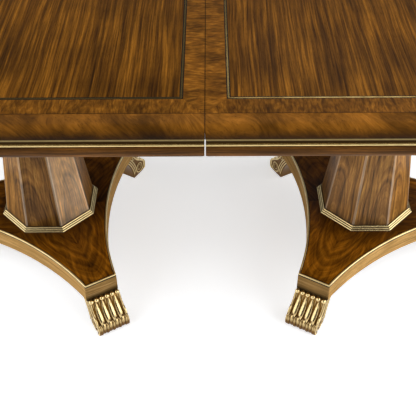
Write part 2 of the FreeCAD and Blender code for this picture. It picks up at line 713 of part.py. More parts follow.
def rack_outline(pitch_radius, module, span, pressure, backlash, tail, bar_width):
    """Returns the corners of a rack beside the pinion, with a gap between its teeth on the Y axis."""
    pitch = math.pi * module
    root, tip = pitch_radius + DEDENDUM * module, pitch_radius - module
    half_tip = pitch / 4 - backlash / 4 - module * math.tan(pressure)
    half_root = pitch / 4 - backlash / 4 + DEDENDUM * module * math.tan(pressure)
    corners = [(-tail, root + bar_width), (-tail, root)]
    for tooth in range(*span):
        middle = (tooth + 0.5) * pitch
        corners += [(middle - half_root, root), (middle - half_tip, tip), (middle + half_tip, tip),
                    (middle + half_root, root)]
    corners += [(span[1] * pitch, root), (span[1] * pitch, root + bar_width)]
    return [FreeCAD.Vector(x, y, 0) for x, y in corners]


def prism(corners, low, height):
    """Returns the solid that stands on a closed outline."""
    face = Part.Face(Part.makePolygon(corners + corners[:1]))
    return face.translated(UP * low).extrude(UP * height)


def make_slides():
    """Makes the carriage between the halves, and the rack and pinion that keep it half way."""
    runner_top = f"({CORE_BOTTOM} - (runner_height - middle_runner_height) / 2)"
    runner_bottom = f"({runner_top} - middle_runner_height)"
    groove = f"({CORE_BOTTOM} - runner_height / 2)"
    outer = f"({RUNNER_SIDE} - slide_clearance)"
    tongue_half = "(groove_height / 2 - slide_clearance)"
    reach = ("-middle_runner_length / 2", "middle_runner_length / 2")
    bar = box("middle_bar", reach, (MIDDLE_SIDE, outer), (runner_bottom, runner_top))
    tongue = box("middle_tongue", reach, (outer, f"{RUNNER_SIDE} + groove_depth - slide_clearance"),
                 (f"{groove} - {tongue_half}", f"{groove} + {tongue_half}"))
    rear_runner = combine("Part::Fuse", "middle_runner", bar, tongue)
    front_runner = mirror("front_middle_runner", rear_runner, ACROSS)
    sub_part("middle_runners", group("middle_runner_pair", rear_runner, front_runner))

    tie_bottom = f"({runner_bottom} - tie_thickness)"
    pin_bore = cylinder("pin_hole", "pinion_pin_radius", "tie_thickness", "0", "0", tie_bottom)
    ties = []
    for middle, width in (("0", "centre_tie_width"), ("side_tie_offset", "side_tie_width"),
                          ("-side_tie_offset", "side_tie_width")):
        ties.append(box("tie", (f"{middle} - {width} / 2", f"{middle} + {width} / 2"), (f"-{outer}", outer),
                        (tie_bottom, runner_bottom)))
    ties[0] = combine("Part::Cut", "centre_tie", ties[0], pin_bore)
    sub_part("carriage_ties", group("ties", *ties))

    gear_bottom = f"({runner_bottom} + gear_lift)"
    shoulder = cylinder("pin_shoulder", "pinion_pin_radius * 2", "gear_lift", "0", "0", runner_bottom)
    shaft_length = "tie_thickness + gear_lift + gear_thickness + running_fit * 2"
    shaft = cylinder("pin_shaft", "pinion_pin_radius", shaft_length, "0", "0", tie_bottom)
    sub_part("pinion_pin", combine("Part::Fuse", "pinion_pin", shoulder, shaft))

    module, backlash = number("tooth_module"), number("gear_backlash")
    teeth, pressure = int(number("pinion_teeth")), math.radians(number("pressure_angle"))
    pitch_radius = module * teeth / 2
    low, thick = number(gear_bottom), number("gear_thickness")
    lift = number("running_fit")
    wheel = prism(pinion_outline(pitch_radius, module, teeth, pressure, backlash), low + lift, thick)
    bore = Part.makeCylinder(number("pinion_pin_radius + running_fit"), thick, UP * (low + lift))
    pinion = doc.addObject("Part::Feature", "pinion")
    pinion.Shape = wheel.cut(bore)
    sub_part("pinion", pinion)

    spare_teeth = 3
    teeth_used = math.ceil(number("slide_travel") / 2 / (math.pi * module)) + spare_teeth
    tail, bar_width, pad_length = number("rack_tail"), number("rack_bar_width"), number("rack_pad_length")
    span = (-spare_teeth, teeth_used)
    outline = rack_outline(pitch_radius, module, span, pressure, backlash, tail, bar_width)
    bar_low = pitch_radius + DEDENDUM * module
    mount = Part.makeBox(pad_length, bar_width, number(CORE_BOTTOM) - low - thick,
                         FreeCAD.Vector(-tail, bar_low, low + thick))
    for name, turn in (("rack_left", 0), ("rack_right", 180)):
        rack = doc.addObject("Part::Feature", name)
        rack.Shape = prism(outline, low, thick).fuse(mount).removeSplitter()
        rack.Placement = FreeCAD.Placement(FreeCAD.Vector(), FreeCAD.Rotation(UP, turn))
        sub_part(name, rack)


def make_locks():
    """Makes the two leaf locks under the split and the pins that line the halves up."""
    plate_bottom = f"({CORE_BOTTOM} - lock_plate_thickness)"
    lever_top = f"({plate_bottom} - slide_clearance)"
    lever_bottom = f"({lever_top} - lever_thickness)"
    head_top = f"({lever_bottom} - slide_clearance)"
    pivot_x, pivot_y = "-lock_inset", f"-{LOCK_SIDE}"
    half_plate = "lock_plate_width / 2"

    plate = box("lock_plate", (f"{pivot_x} - {half_plate}", f"{pivot_x} + {half_plate}"),
                (f"{pivot_y} - {half_plate}", f"{pivot_y} + {half_plate}"), (plate_bottom, CORE_BOTTOM))
    pivot = cylinder("lock_pivot", "pivot_radius", f"{plate_bottom} - {head_top} + pivot_head_height",
                     pivot_x, pivot_y, f"{head_top} - pivot_head_height")
    head = cylinder("lock_pivot_head", "pivot_head_radius", "pivot_head_height", pivot_x, pivot_y,
                    f"{head_top} - pivot_head_height")
    front_plate = combine("Part::Fuse", "front_plate", plate, combine("Part::Fuse", "lock_pin", pivot, head))
    rear_plate = mirror("rear_plate", front_plate, ACROSS)
    sub_part("lock_plates_left", group("lock_plates", front_plate, rear_plate))

    bar = box("lever_bar", (f"{pivot_x} - lever_width / 2", f"{pivot_x} + lever_width / 2"),
              (pivot_y, f"{pivot_y} + lever_length"), (lever_bottom, lever_top))
    boss = cylinder("lever_boss", "lever_boss_radius", "lever_thickness", pivot_x, pivot_y, lever_bottom)
    knob_y = f"{pivot_y} + lever_length - lever_knob_radius * 3 / 2"
    knob = cylinder("lever_knob", "lever_knob_radius", "lever_knob_height", pivot_x, knob_y,
                    f"{lever_bottom} - lever_knob_height")
    eye_radius = "pivot_radius + running_fit"
    eye = cylinder("lever_eye", eye_radius, "lever_thickness", pivot_x, pivot_y, lever_bottom)
    grip = "(keeper_pin_radius + keeper_play)"
    hook_y = f"{pivot_y} + lock_throw"
    hook = box("lever_hook", (f"{pivot_x} - {grip}", f"{pivot_x} + lever_width"),
               (f"{hook_y} - {grip}", f"{hook_y} + {grip}"), (lever_bottom, lever_top))
    blank = combine("Part::Fuse", "lever_blank", combine("Part::Fuse", "lever_arm", bar, boss), knob)
    lever = combine("Part::Cut", "lever", blank, eye, hook)
    sub_part("lock_lever_front", lever)
    sub_part("lock_lever_rear", mirror("rear_lever", lever, ACROSS))

    keeper_x = "(lock_throw - lock_inset)"
    keeper_plate = box("keeper_plate", (f"{keeper_x} - keeper_plate_lead", f"{keeper_x} + {half_plate}"),
                       (f"{pivot_y} - {half_plate}", f"{pivot_y} + {half_plate}"), (plate_bottom, CORE_BOTTOM))
    pin_bottom = f"({lever_bottom} - keeper_play * 2)"
    pin_length = f"{plate_bottom} - {pin_bottom}"
    keeper_pin = cylinder("keeper_pin", "keeper_pin_radius", pin_length, keeper_x, pivot_y, pin_bottom)
    keeper = combine("Part::Fuse", "front_keeper", keeper_plate, keeper_pin)
    sub_part("lock_keepers_right", group("keepers", keeper, mirror("rear_keeper", keeper, ACROSS)))

    pins = [cylinder("align_pin", "align_pin_radius", "align_pin_reach * 2 + split_gap",
                     "-align_pin_reach - split_gap / 2", y, PIN_LEVEL, ACROSS, 90) for y in PIN_PLACES]
    sub_part("alignment_pins_left", group("align_pins", *pins))


def write_parts():
    """Checks every object of the document, then writes each piece to its own file."""
    doc.recompute()
    for item in doc.Objects:
        if "Invalid" in item.State or "Error" in item.State:
            raise RuntimeError(f"{item.Label} failed: {item.State}")
    for item in parts:
        if item.Shape.isNull() or not item.Shape.isValid() or not item.Shape.Solids:
            raise RuntimeError(f"{item.Label} has no valid solid")
    os.makedirs("parts", exist_ok=True)
    for item in parts:
        item.Shape.exportStep(f"parts/{item.Label}.step")
        print(f"{item.Label}: {len(item.Shape.Solids)} solids, {item.Shape.Volume / 1000:.1f} cm3")


make_top()
make_platform()
make_column()
make_feet()
make_carcase()
make_slides()
make_locks()
write_parts()
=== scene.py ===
"""Looks of an extending dining table on two pedestals: polished walnut, brass lines and cast scroll feet."""
import json
import logging
import math
from dataclasses import dataclass
from enum import Enum
from typing import Any

import bpy
from bpy.types import Material, Node, NodeSocket, NodeTree, Object
from mathutils import Matrix, Vector


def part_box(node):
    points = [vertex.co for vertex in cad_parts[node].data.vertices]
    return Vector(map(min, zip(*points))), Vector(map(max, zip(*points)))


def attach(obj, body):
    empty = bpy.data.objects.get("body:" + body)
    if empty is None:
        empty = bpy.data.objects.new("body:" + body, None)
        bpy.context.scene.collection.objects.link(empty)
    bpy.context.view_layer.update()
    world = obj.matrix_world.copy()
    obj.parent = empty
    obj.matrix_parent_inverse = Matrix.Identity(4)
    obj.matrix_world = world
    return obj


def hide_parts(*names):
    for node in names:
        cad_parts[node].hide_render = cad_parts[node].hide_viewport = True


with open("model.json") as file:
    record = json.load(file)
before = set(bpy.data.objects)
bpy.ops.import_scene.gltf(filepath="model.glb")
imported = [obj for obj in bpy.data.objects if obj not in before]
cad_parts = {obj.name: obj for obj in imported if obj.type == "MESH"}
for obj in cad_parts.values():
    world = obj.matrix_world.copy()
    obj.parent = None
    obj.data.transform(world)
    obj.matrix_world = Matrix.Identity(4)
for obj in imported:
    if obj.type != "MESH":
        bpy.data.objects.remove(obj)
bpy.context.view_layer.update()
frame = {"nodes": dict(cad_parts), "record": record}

PICTURE_PX = 416
MM = 0.001
PEDESTAL_X = sum(corner.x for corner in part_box("column_staves_right")) / 2
HALVES = (("left", -1), ("right", 1))
LEG_TURN = 120
LEGS = (("outer", 0), ("rear", LEG_TURN), ("front", 2 * LEG_TURN))
STAVE_COUNT = 8
BORDER_WIDTH = 47 * MM
SPLIT_BORDER_WIDTH = 41.5 * MM
# patches of grain are told apart by their depth: those of the pedestals are numbered up from -9 and from 9
PATCH_START = 9.0
PATCH_REACH = 0.4
LONG_STRIP, CROSS_STRIP, EDGE_STRIP = 1.2, 0.35, 0.3
LOG = logging.getLogger("table")
# pairs of sockets of a range
FROM = ("From Min", "From Max")
TO = ("To Min", "To Max")
NOISE_MEAN = 0.5


def linear(code: str) -> tuple[float, float, float, float]:
    """Turns an sRGB hex colour to linear light.

    Args:
        code: Six hex digits.

    Returns:
        Red, green, blue and an alpha of 1.
    """
    shares = [int(code[place:place + 2], 16) / 255 for place in (0, 2, 4)]
    red, green, blue = [share / 12.92 if share <= 0.04045 else ((share + 0.055) / 1.055) ** 2.4
                        for share in shares]
    return red, green, blue, 1.0


def add(tree: NodeTree, kind: str, inputs: dict[Any, Any] | None = None, **settings: Any) -> Node:
    """Adds a shader node with its settings and links.

    Args:
        tree: The node tree of a material or of the world.
        kind: The node's type without its common prefix.
        inputs: Socket name or number, with a value, a node (its first output) or an output socket. A pair
            of names has a pair of values.
        settings: Properties of the node. For a colour ramp, stops holds pairs of place and colour.

    Returns:
        The new node.
    """
    made = tree.nodes.new("ShaderNode" + kind)
    stops = settings.pop("stops", ())
    for name, value in settings.items():
        setattr(made, name, value)
    for index, (place, colour) in enumerate(stops):
        stop = made.color_ramp.elements[index] if index < 2 else made.color_ramp.elements.new(place)
        stop.position = place
        stop.color = colour
    for names, values in (inputs or {}).items():
        for name, value in zip(names, values) if isinstance(names, tuple) else ((names, values),):
            if isinstance(value, Node):
                tree.links.new(value.outputs[0], made.inputs[name])
            elif isinstance(value, NodeSocket):
                tree.links.new(value, made.inputs[name])
            else:
                made.inputs[name].default_value = value
    return made


def limited(value: float) -> float:
    """Keeps a share between 0 and 1."""
    return max(0.0, min(1.0, value))


def new_material(name: str) -> tuple[Material, NodeTree]:
    """Makes an empty node material.

    Args:
        name: The material's name.

    Returns:
        The material and its node tree.
    """
    material = bpy.data.materials.new(name)
    material.use_nodes = True
    material.node_tree.nodes.clear()
    return material, material.node_tree


class Lie(Enum):
    """How the grain lies on a piece."""

    ALONG = "along the table"
    ACROSS = "across the table"
    LEVEL = "level round an edge"
    SLANTED = "slanted, as in veneer cut near a fork"
    UPRIGHT = "upright on each face of a column"
    FLAME = "out along each leg of a platform, matched about its middle"
    MITRED = "across each strip of a mitred border"


# degrees about each axis
GRAIN_TURNS: dict[Lie, tuple[float, float, float]] = {
    Lie.ALONG: (0, 0, 0), Lie.ACROSS: (0, 0, 90), Lie.SLANTED: (25, 34, -30)}


@dataclass(frozen=True)
class Wood:
    """Veneer or solid wood, planed and polished.

    Growth streaks and dark veins run along the grain, a cloudy figure bends them and shifts their tone,
    and the polish lies over short dark pores as a thin clear coat.
    """

    name: str
    dark: str
    body: str
    bright: str
    lie: Lie
    streak_mm: float = 9.0
    stretch: float = 14.0
    contrast: float = 0.14
    figure_mm: float = 90.0
    figure_length: float = 0.4
    bend_mm: float = 6.0
    bend_across: float = 4.0
    cloud: float = 0.25
    cloud_span: tuple[float, float] = (0.32, 0.68)
    vein: float = 0.35
    vein_mm: float = 16.0
    vein_stretch: float = 1.5
    vein_span: tuple[float, float] = (0.53, 0.68)
    vein_shift: tuple[float, float, float] = (0.31, 0.17, 0.0)
    ring_mm: float = 0.0
    ring_share: float = 0.5
    ring_slope: float = 0.16
    ring_drop_mm: float = 10.0
    ring_sway_mm: float = 30.0
    ring_sway_step: float = 2.4
    # pores are 0.3 mm wide in the wood, and drawn at 1.2 mm so that they show
    pore_mm: float = 1.2
    pore_stretch: float = 12.0
    pore_span: tuple[float, float] = (0.56, 0.7)
    pore_shade: float = 0.68
    pore_dull: float = 0.12
    pore_depth_mm: float = 0.1
    pore_relief: float = 0.1
    # the grain's shift along a level edge, for each step across the table
    edge_shift: float = 0.7
    # pairs of a patch and its tone, partly painted light and shade, its share of painted sheen, and the
    # arrises' painted highlight
    tones: tuple[tuple[float, float], ...] = ()
    painted_sheen: tuple[tuple[float, float], ...] = ()
    arris_highlight: float = 0.0
    # start, end and first share of a painted shade (share under 1) or painted highlight (over 1) that fades
    # upwards, and how far from the axis it begins
    toned: tuple[float, float, float] | None = None
    toned_beyond: float = 0.0
    # start, end and first share of a painted shade that fades with the distance from the pedestal's axis
    shaded: tuple[float, float, float] | None = None
    split_line: bool = False
    split_joint: tuple[float, float] = (0.7 * MM, 1.3 * MM)
    split_joint_shade: float = 0.22
    edge_joint: tuple[float, float] = (2.2 * MM, 1.4 * MM)
    edge_joint_shade: float = 0.3
    roughness: float = 0.38
    polish_ior: float = 1.5
    specular: float = 0.12
    coat: float = 0.12
    coat_roughness: float = 0.16

    def grain_place(self, tree: NodeTree, spot: NodeSocket) -> NodeSocket:
        """Turns the place on the piece to places along, across and into the grain.

        Args:
            tree: The material's node tree.
            spot: The place on the piece.

        Returns:
            The place in the grain.
        """
        if self.lie in (Lie.UPRIGHT, Lie.FLAME):
            return self.sector_place(tree, spot)
        if self.lie is Lie.MITRED:
            return self.border_place(tree, spot)
        if self.lie is Lie.LEVEL:
            x, y, z = add(tree, "SeparateXYZ", {0: spot}).outputs
            round_edge = add(tree, "Math", {0: y, 1: self.edge_shift, 2: x}, operation="MULTIPLY_ADD")
            return add(tree, "CombineXYZ", {0: round_edge, 1: z, 2: EDGE_STRIP}).outputs[0]
        turn = [math.radians(angle) for angle in GRAIN_TURNS[self.lie]]
        return add(tree, "Mapping", {"Vector": spot, "Rotation": turn}, vector_type="TEXTURE").outputs[0]

    def from_axis(self, tree: NodeTree, spot: NodeSocket) -> tuple[Node, NodeSocket]:
        """Measures a place from the axis of its pedestal.

        Args:
            tree: The material's node tree.
            spot: The place on the piece.

        Returns:
            How far it lies towards the end of the table, and how far towards the back.
        """
        x, y, _ = add(tree, "SeparateXYZ", {0: spot}).outputs
        size = add(tree, "Math", {0: x}, operation="ABSOLUTE")
        return add(tree, "Math", {0: size, 1: PEDESTAL_X}, operation="SUBTRACT"), y

    def sector_place(self, tree: NodeTree, spot: NodeSocket) -> NodeSocket:
        """Gives each stave of a column, or each leg of a platform, a patch of grain of its own.

        Args:
            tree: The material's node tree.
            spot: The place on the piece.

        Returns:
            Place along and across the sector, and a depth that differs from sector to sector.
        """
        count = STAVE_COUNT if self.lie is Lie.UPRIGHT else len(LEGS)
        step = 2 * math.pi / count
        x, _, z = add(tree, "SeparateXYZ", {0: spot}).outputs
        side = add(tree, "Math", {0: x}, operation="SIGN")
        out, y = self.from_axis(tree, spot)
        turn = add(tree, "Math", {0: y, 1: out}, operation="ARCTAN2")
        share = add(tree, "Math", {0: turn, 1: step}, operation="DIVIDE")
        nearest = add(tree, "Math", {0: share}, operation="ROUND")
        sector = add(tree, "Math", {0: nearest, 1: count, 2: 0.0}, operation="WRAP")
        facing = add(tree, "Math", {0: sector, 1: step}, operation="MULTIPLY")
        sine = add(tree, "Math", {0: facing}, operation="SINE")
        cosine = add(tree, "Math", {0: facing}, operation="COSINE")
        back = add(tree, "Math", {0: sine, 1: out}, operation="MULTIPLY")
        across = add(tree, "Math", {0: cosine, 1: y}, operation="MULTIPLY")
        across = add(tree, "Math", {0: across, 1: back}, operation="SUBTRACT")
        patch = add(tree, "Math", {0: side, 1: PATCH_START, 2: sector}, operation="MULTIPLY_ADD")
        along: Node | NodeSocket = z
        if self.lie is Lie.FLAME:
            rise = add(tree, "Math", {0: sine, 1: y}, operation="MULTIPLY")
            along = add(tree, "Math", {0: cosine, 1: out, 2: rise}, operation="MULTIPLY_ADD")
            across = add(tree, "Math", {0: across}, operation="ABSOLUTE")
        return add(tree, "CombineXYZ", {0: along, 1: across, 2: patch}).outputs[0]

    def border_place(self, tree: NodeTree, spot: NodeSocket) -> NodeSocket:
        """Turns the grain across each strip of the border, so that it changes at the mitres.

        Args:
            tree: The material's node tree.
            spot: The place on the piece.

        Returns:
            Place across the strip, place along it, and a depth that differs from strip to strip.
        """
        low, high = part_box("border_veneer_right")
        x, y, _ = add(tree, "SeparateXYZ", {0: spot}).outputs
        out = add(tree, "Math", {0: x}, operation="ABSOLUTE")
        wide = add(tree, "Math", {0: y}, operation="ABSOLUTE")
        from_side, from_split, from_end = (
            add(tree, "Math", {0: measure, 1: 1 / width, 2: -start / width}, operation="MULTIPLY_ADD")
            for measure, start, width in ((wide, high.y, -BORDER_WIDTH), (out, low.x, SPLIT_BORDER_WIDTH),
                                          (out, high.x, -BORDER_WIDTH)))
        nearest = add(tree, "Math", {0: from_split, 1: from_end}, operation="MINIMUM")
        cross_strip = add(tree, "Math", {0: nearest, 1: from_side}, operation="LESS_THAN")
        long_place = add(tree, "CombineXYZ", {0: y, 1: x, 2: LONG_STRIP})
        cross_place = add(tree, "CombineXYZ", {0: x, 1: y, 2: CROSS_STRIP})
        return add(tree, "Mix", {"Factor": cross_strip, 4: long_place, 5: cross_place},
                   data_type="VECTOR").outputs[1]

    def rings(self, tree: NodeTree, place: NodeSocket) -> Node:
        """Draws growth rings that the face cuts at a slant, as pointed arches one above the other.

        Args:
            tree: The material's node tree.
            place: The place in the grain.

        Returns:
            The rings as a noise.
        """
        along, across, depth = add(tree, "SeparateXYZ", {0: place}).outputs
        patch = add(tree, "Math", {0: depth, 1: self.ring_sway_step}, operation="MULTIPLY")
        sway = add(tree, "Math", {0: patch}, operation="SINE")
        heart = add(tree, "Math", {0: sway, 1: self.ring_sway_mm * MM, 2: across}, operation="MULTIPLY_ADD")
        rise = add(tree, "Math", {0: along, 1: self.ring_slope, 2: -self.ring_drop_mm * MM},
                   operation="MULTIPLY_ADD")
        spot = add(tree, "CombineXYZ", {0: heart, 1: rise, 2: 0.0})
        reach = add(tree, "VectorMath", {0: spot}, operation="LENGTH")
        return add(tree, "TexNoise", {"W": reach.outputs["Value"], "Scale": 1 / (self.ring_mm * MM),
                                      "Detail": 3.0, "Roughness": 0.6}, noise_dimensions="1D")

    def joints(self, tree: NodeTree, spot: NodeSocket) -> NodeSocket:
        """Darkens the joint at the split and, on a border, the joint at its outer edge.

        Args:
            tree: The material's node tree.
            spot: The place on the piece.

        Returns:
            A factor, 1 away from the joints.
        """
        x, y, _ = add(tree, "SeparateXYZ", {0: spot}).outputs
        out = add(tree, "Math", {0: x}, operation="ABSOLUTE")
        split = add(tree, "MapRange", {"Value": out, FROM: self.split_joint,
                                       "To Min": self.split_joint_shade})
        if self.lie is not Lie.MITRED:
            return split.outputs[0]
        flat_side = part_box("border_veneer_right")[1].y
        wide = add(tree, "Math", {0: y}, operation="ABSOLUTE")
        span = [flat_side - inset for inset in self.edge_joint]
        edge = add(tree, "MapRange", {"Value": wide, FROM: span, TO: (1.0, self.edge_joint_shade)})
        return add(tree, "Math", {0: split, 1: edge}, operation="MULTIPLY").outputs[0]

    def by_patch(self, tree: NodeTree, place: NodeSocket,
                 amounts: tuple[tuple[float, float], ...]) -> Node | float:
        """Gives each patch of grain an amount of its own.

        Args:
            tree: The material's node tree.
            place: The place in the grain, with the patch's depth as its third part.
            amounts: The depths of patches, each with its amount.

        Returns:
            The amount at the place, 0 on patches that aren't listed.
        """
        depth = add(tree, "SeparateXYZ", {0: place}).outputs["Z"]
        total: Node | float = 0.0
        for patch, amount in amounts:
            here = add(tree, "Math", {0: depth, 1: patch, 2: PATCH_REACH}, operation="COMPARE")
            total = add(tree, "Math", {0: here, 1: amount, 2: total}, operation="MULTIPLY_ADD")
        return total

    def reach(self, tree: NodeTree, spot: NodeSocket) -> NodeSocket:
        """Finds how far a place lies from the axis of its pedestal.

        Args:
            tree: The material's node tree.
            spot: The place on the piece.

        Returns:
            The distance.
        """
        out, y = self.from_axis(tree, spot)
        flat = add(tree, "CombineXYZ", {0: out, 1: y})
        return add(tree, "VectorMath", {0: flat}, operation="LENGTH").outputs["Value"]

    def shading(self, tree: NodeTree, spot: NodeSocket, place: NodeSocket) -> list[Node | NodeSocket | float]:
        """Lists the factors that lighten and darken whole zones of the piece: patch tones, painted shade or
        highlight by height, painted shade by distance from the axis, and dark joints.

        Args:
            tree: The material's node tree.
            spot: The place on the piece.
            place: The place in the grain.

        Returns:
            The factors.
        """
        factors: list[Node | NodeSocket | float] = []
        if self.tones:
            factors.append(self.by_patch(tree, place, self.tones))
        # painted shade or highlight by height
        if self.toned:
            *span, share = self.toned
            height = add(tree, "SeparateXYZ", {0: spot}).outputs["Z"]
            toning = add(tree, "MapRange", {"Value": height, FROM: span, "To Min": share},
                         interpolation_type="SMOOTHSTEP")
            if self.toned_beyond:
                inner = add(tree, "Math", {0: self.reach(tree, spot), 1: self.toned_beyond},
                            operation="LESS_THAN")
                toning = add(tree, "Math", {0: toning, 1: inner}, operation="MAXIMUM")
            factors.append(toning)
        # painted shade by distance from the axis
        if self.shaded:
            *span, share = self.shaded
            fading = {"Value": self.reach(tree, spot), FROM: span, "To Min": share}
            factors.append(add(tree, "MapRange", fading, interpolation_type="SMOOTHSTEP"))
        if self.split_line:
            factors.append(self.joints(tree, spot))
        return factors

    def build(self) -> Material:
        """Makes the material.

        Returns:
            The wood with its streaks, veins, figure, pores and polish.
        """
        material, tree = new_material(self.name)
        spot = add(tree, "TexCoord").outputs["Object"]
        place = self.grain_place(tree, spot)
        drawn_out = add(tree, "VectorMath", {0: place, 1: (self.figure_length, 1.0, 1.0)},
                        operation="MULTIPLY")
        figure = add(tree, "TexNoise", {"Vector": drawn_out, "Scale": 1 / (self.figure_mm * MM),
                                        "Detail": 1.5})
        swing = add(tree, "VectorMath", {0: figure.outputs["Color"], 1: (NOISE_MEAN,) * 3},
                    operation="SUBTRACT")
        bend = self.bend_mm * MM
        bent = add(tree, "VectorMath", {0: swing, 1: (bend, bend * self.bend_across, bend), 2: place},
                   operation="MULTIPLY_ADD")
        along = add(tree, "Mapping", {"Vector": bent, "Scale": (self.stretch, 1.0, 1.0)},
                    vector_type="TEXTURE")
        growth = add(tree, "TexNoise", {"Vector": along, "Scale": 1 / (self.streak_mm * MM), "Detail": 5.0,
                                        "Roughness": 0.6})
        if self.ring_mm:
            rings = self.rings(tree, bent.outputs[0])
            growth = add(tree, "Mix", {"Factor": self.ring_share, 2: growth, 3: rings})
        colour = add(tree, "ValToRGB", {0: growth}, stops=(
            (NOISE_MEAN - self.contrast, linear(self.dark)),
            (NOISE_MEAN + self.contrast, linear(self.bright)), (NOISE_MEAN, linear(self.body))))
        slow = add(tree, "Mapping", {"Vector": bent, "Location": self.vein_shift,
                                     "Scale": (self.stretch * self.vein_stretch, 1.0, 1.0)},
                   vector_type="TEXTURE")
        veins = add(tree, "TexNoise", {"Vector": slow, "Scale": 1 / (self.vein_mm * MM), "Detail": 3.0,
                                       "Roughness": 0.65})
        dark_veins = add(tree, "MapRange", {"Value": veins, FROM: self.vein_span, TO: (1.0, 1.0 - self.vein)},
                         interpolation_type="SMOOTHSTEP")
        clouds = add(tree, "TexNoise", {"Vector": bent, "Scale": 1 / (self.figure_mm * MM), "Detail": 3.0})
        tone = add(tree, "MapRange", {"Value": clouds, FROM: self.cloud_span,
                                      TO: (1 - self.cloud, 1 + self.cloud)})
        fine = add(tree, "Mapping", {"Vector": bent, "Scale": (self.pore_stretch, 1.0, 1.0)},
                   vector_type="TEXTURE")
        pores = add(tree, "TexNoise", {"Vector": fine, "Scale": 1 / (self.pore_mm * MM), "Detail": 1.0})
        pits = add(tree, "MapRange", {"Value": pores, FROM: self.pore_span, TO: (1.0, self.pore_shade)})
        shade = add(tree, "Math", {0: tone, 1: pits}, operation="MULTIPLY")
        for factor in (dark_veins, *self.shading(tree, spot, place)):
            shade = add(tree, "Math", {0: shade, 1: factor}, operation="MULTIPLY")
        dyed = add(tree, "VectorMath", {0: colour, "Scale": shade}, operation="SCALE")
        # painted sheen on some staves and painted highlight on the rounded arrises, a pale colour added to
        # the wood
        if self.painted_sheen:
            arris = add(tree, "Attribute", attribute_name="arris").outputs["Fac"]
            painted_sheen_share = add(tree, "Math", {0: arris, 1: self.arris_highlight, 2: self.by_patch(tree, place, self.painted_sheen)},
                       operation="MULTIPLY_ADD")
            painted_sheen_amount = add(tree, "Math", {0: painted_sheen_share, 1: tone}, operation="MULTIPLY")
            painted_sheen_veil = add(tree, "VectorMath", {0: linear(PAINTED_SHEEN_COLOUR)[:3], "Scale": painted_sheen_amount}, operation="SCALE")
            dyed = add(tree, "VectorMath", {0: dyed, 1: painted_sheen_veil}, operation="ADD")
        sheen = add(tree, "MapRange", {"Value": pits, FROM: (self.pore_shade, 1.0),
                                       TO: (self.roughness + self.pore_dull, self.roughness)})
        relief = add(tree, "Bump", {"Height": pits, "Strength": self.pore_relief,
                                    "Distance": self.pore_depth_mm * MM})
        surface = add(tree, "BsdfPrincipled", {
            "Base Color": dyed, "Roughness": sheen, "Normal": relief, "IOR": self.polish_ior,
            "Specular IOR Level": self.specular, "Coat Weight": self.coat,
            "Coat Roughness": self.coat_roughness})
        add(tree, "OutputMaterial", {"Surface": surface})
        return material


class Coverage(Enum):
    """Where a brass piece is bright and where it is dark."""

    EVEN = "bright all over, with a little tarnish"
    BEADED = "bright on the beads of the rim, dark on the band between them"
    REEDED = "bright on the reeds of a collar, dark in the grooves between them"
    RELIEF = "bright on raised places, dark in the hollows"


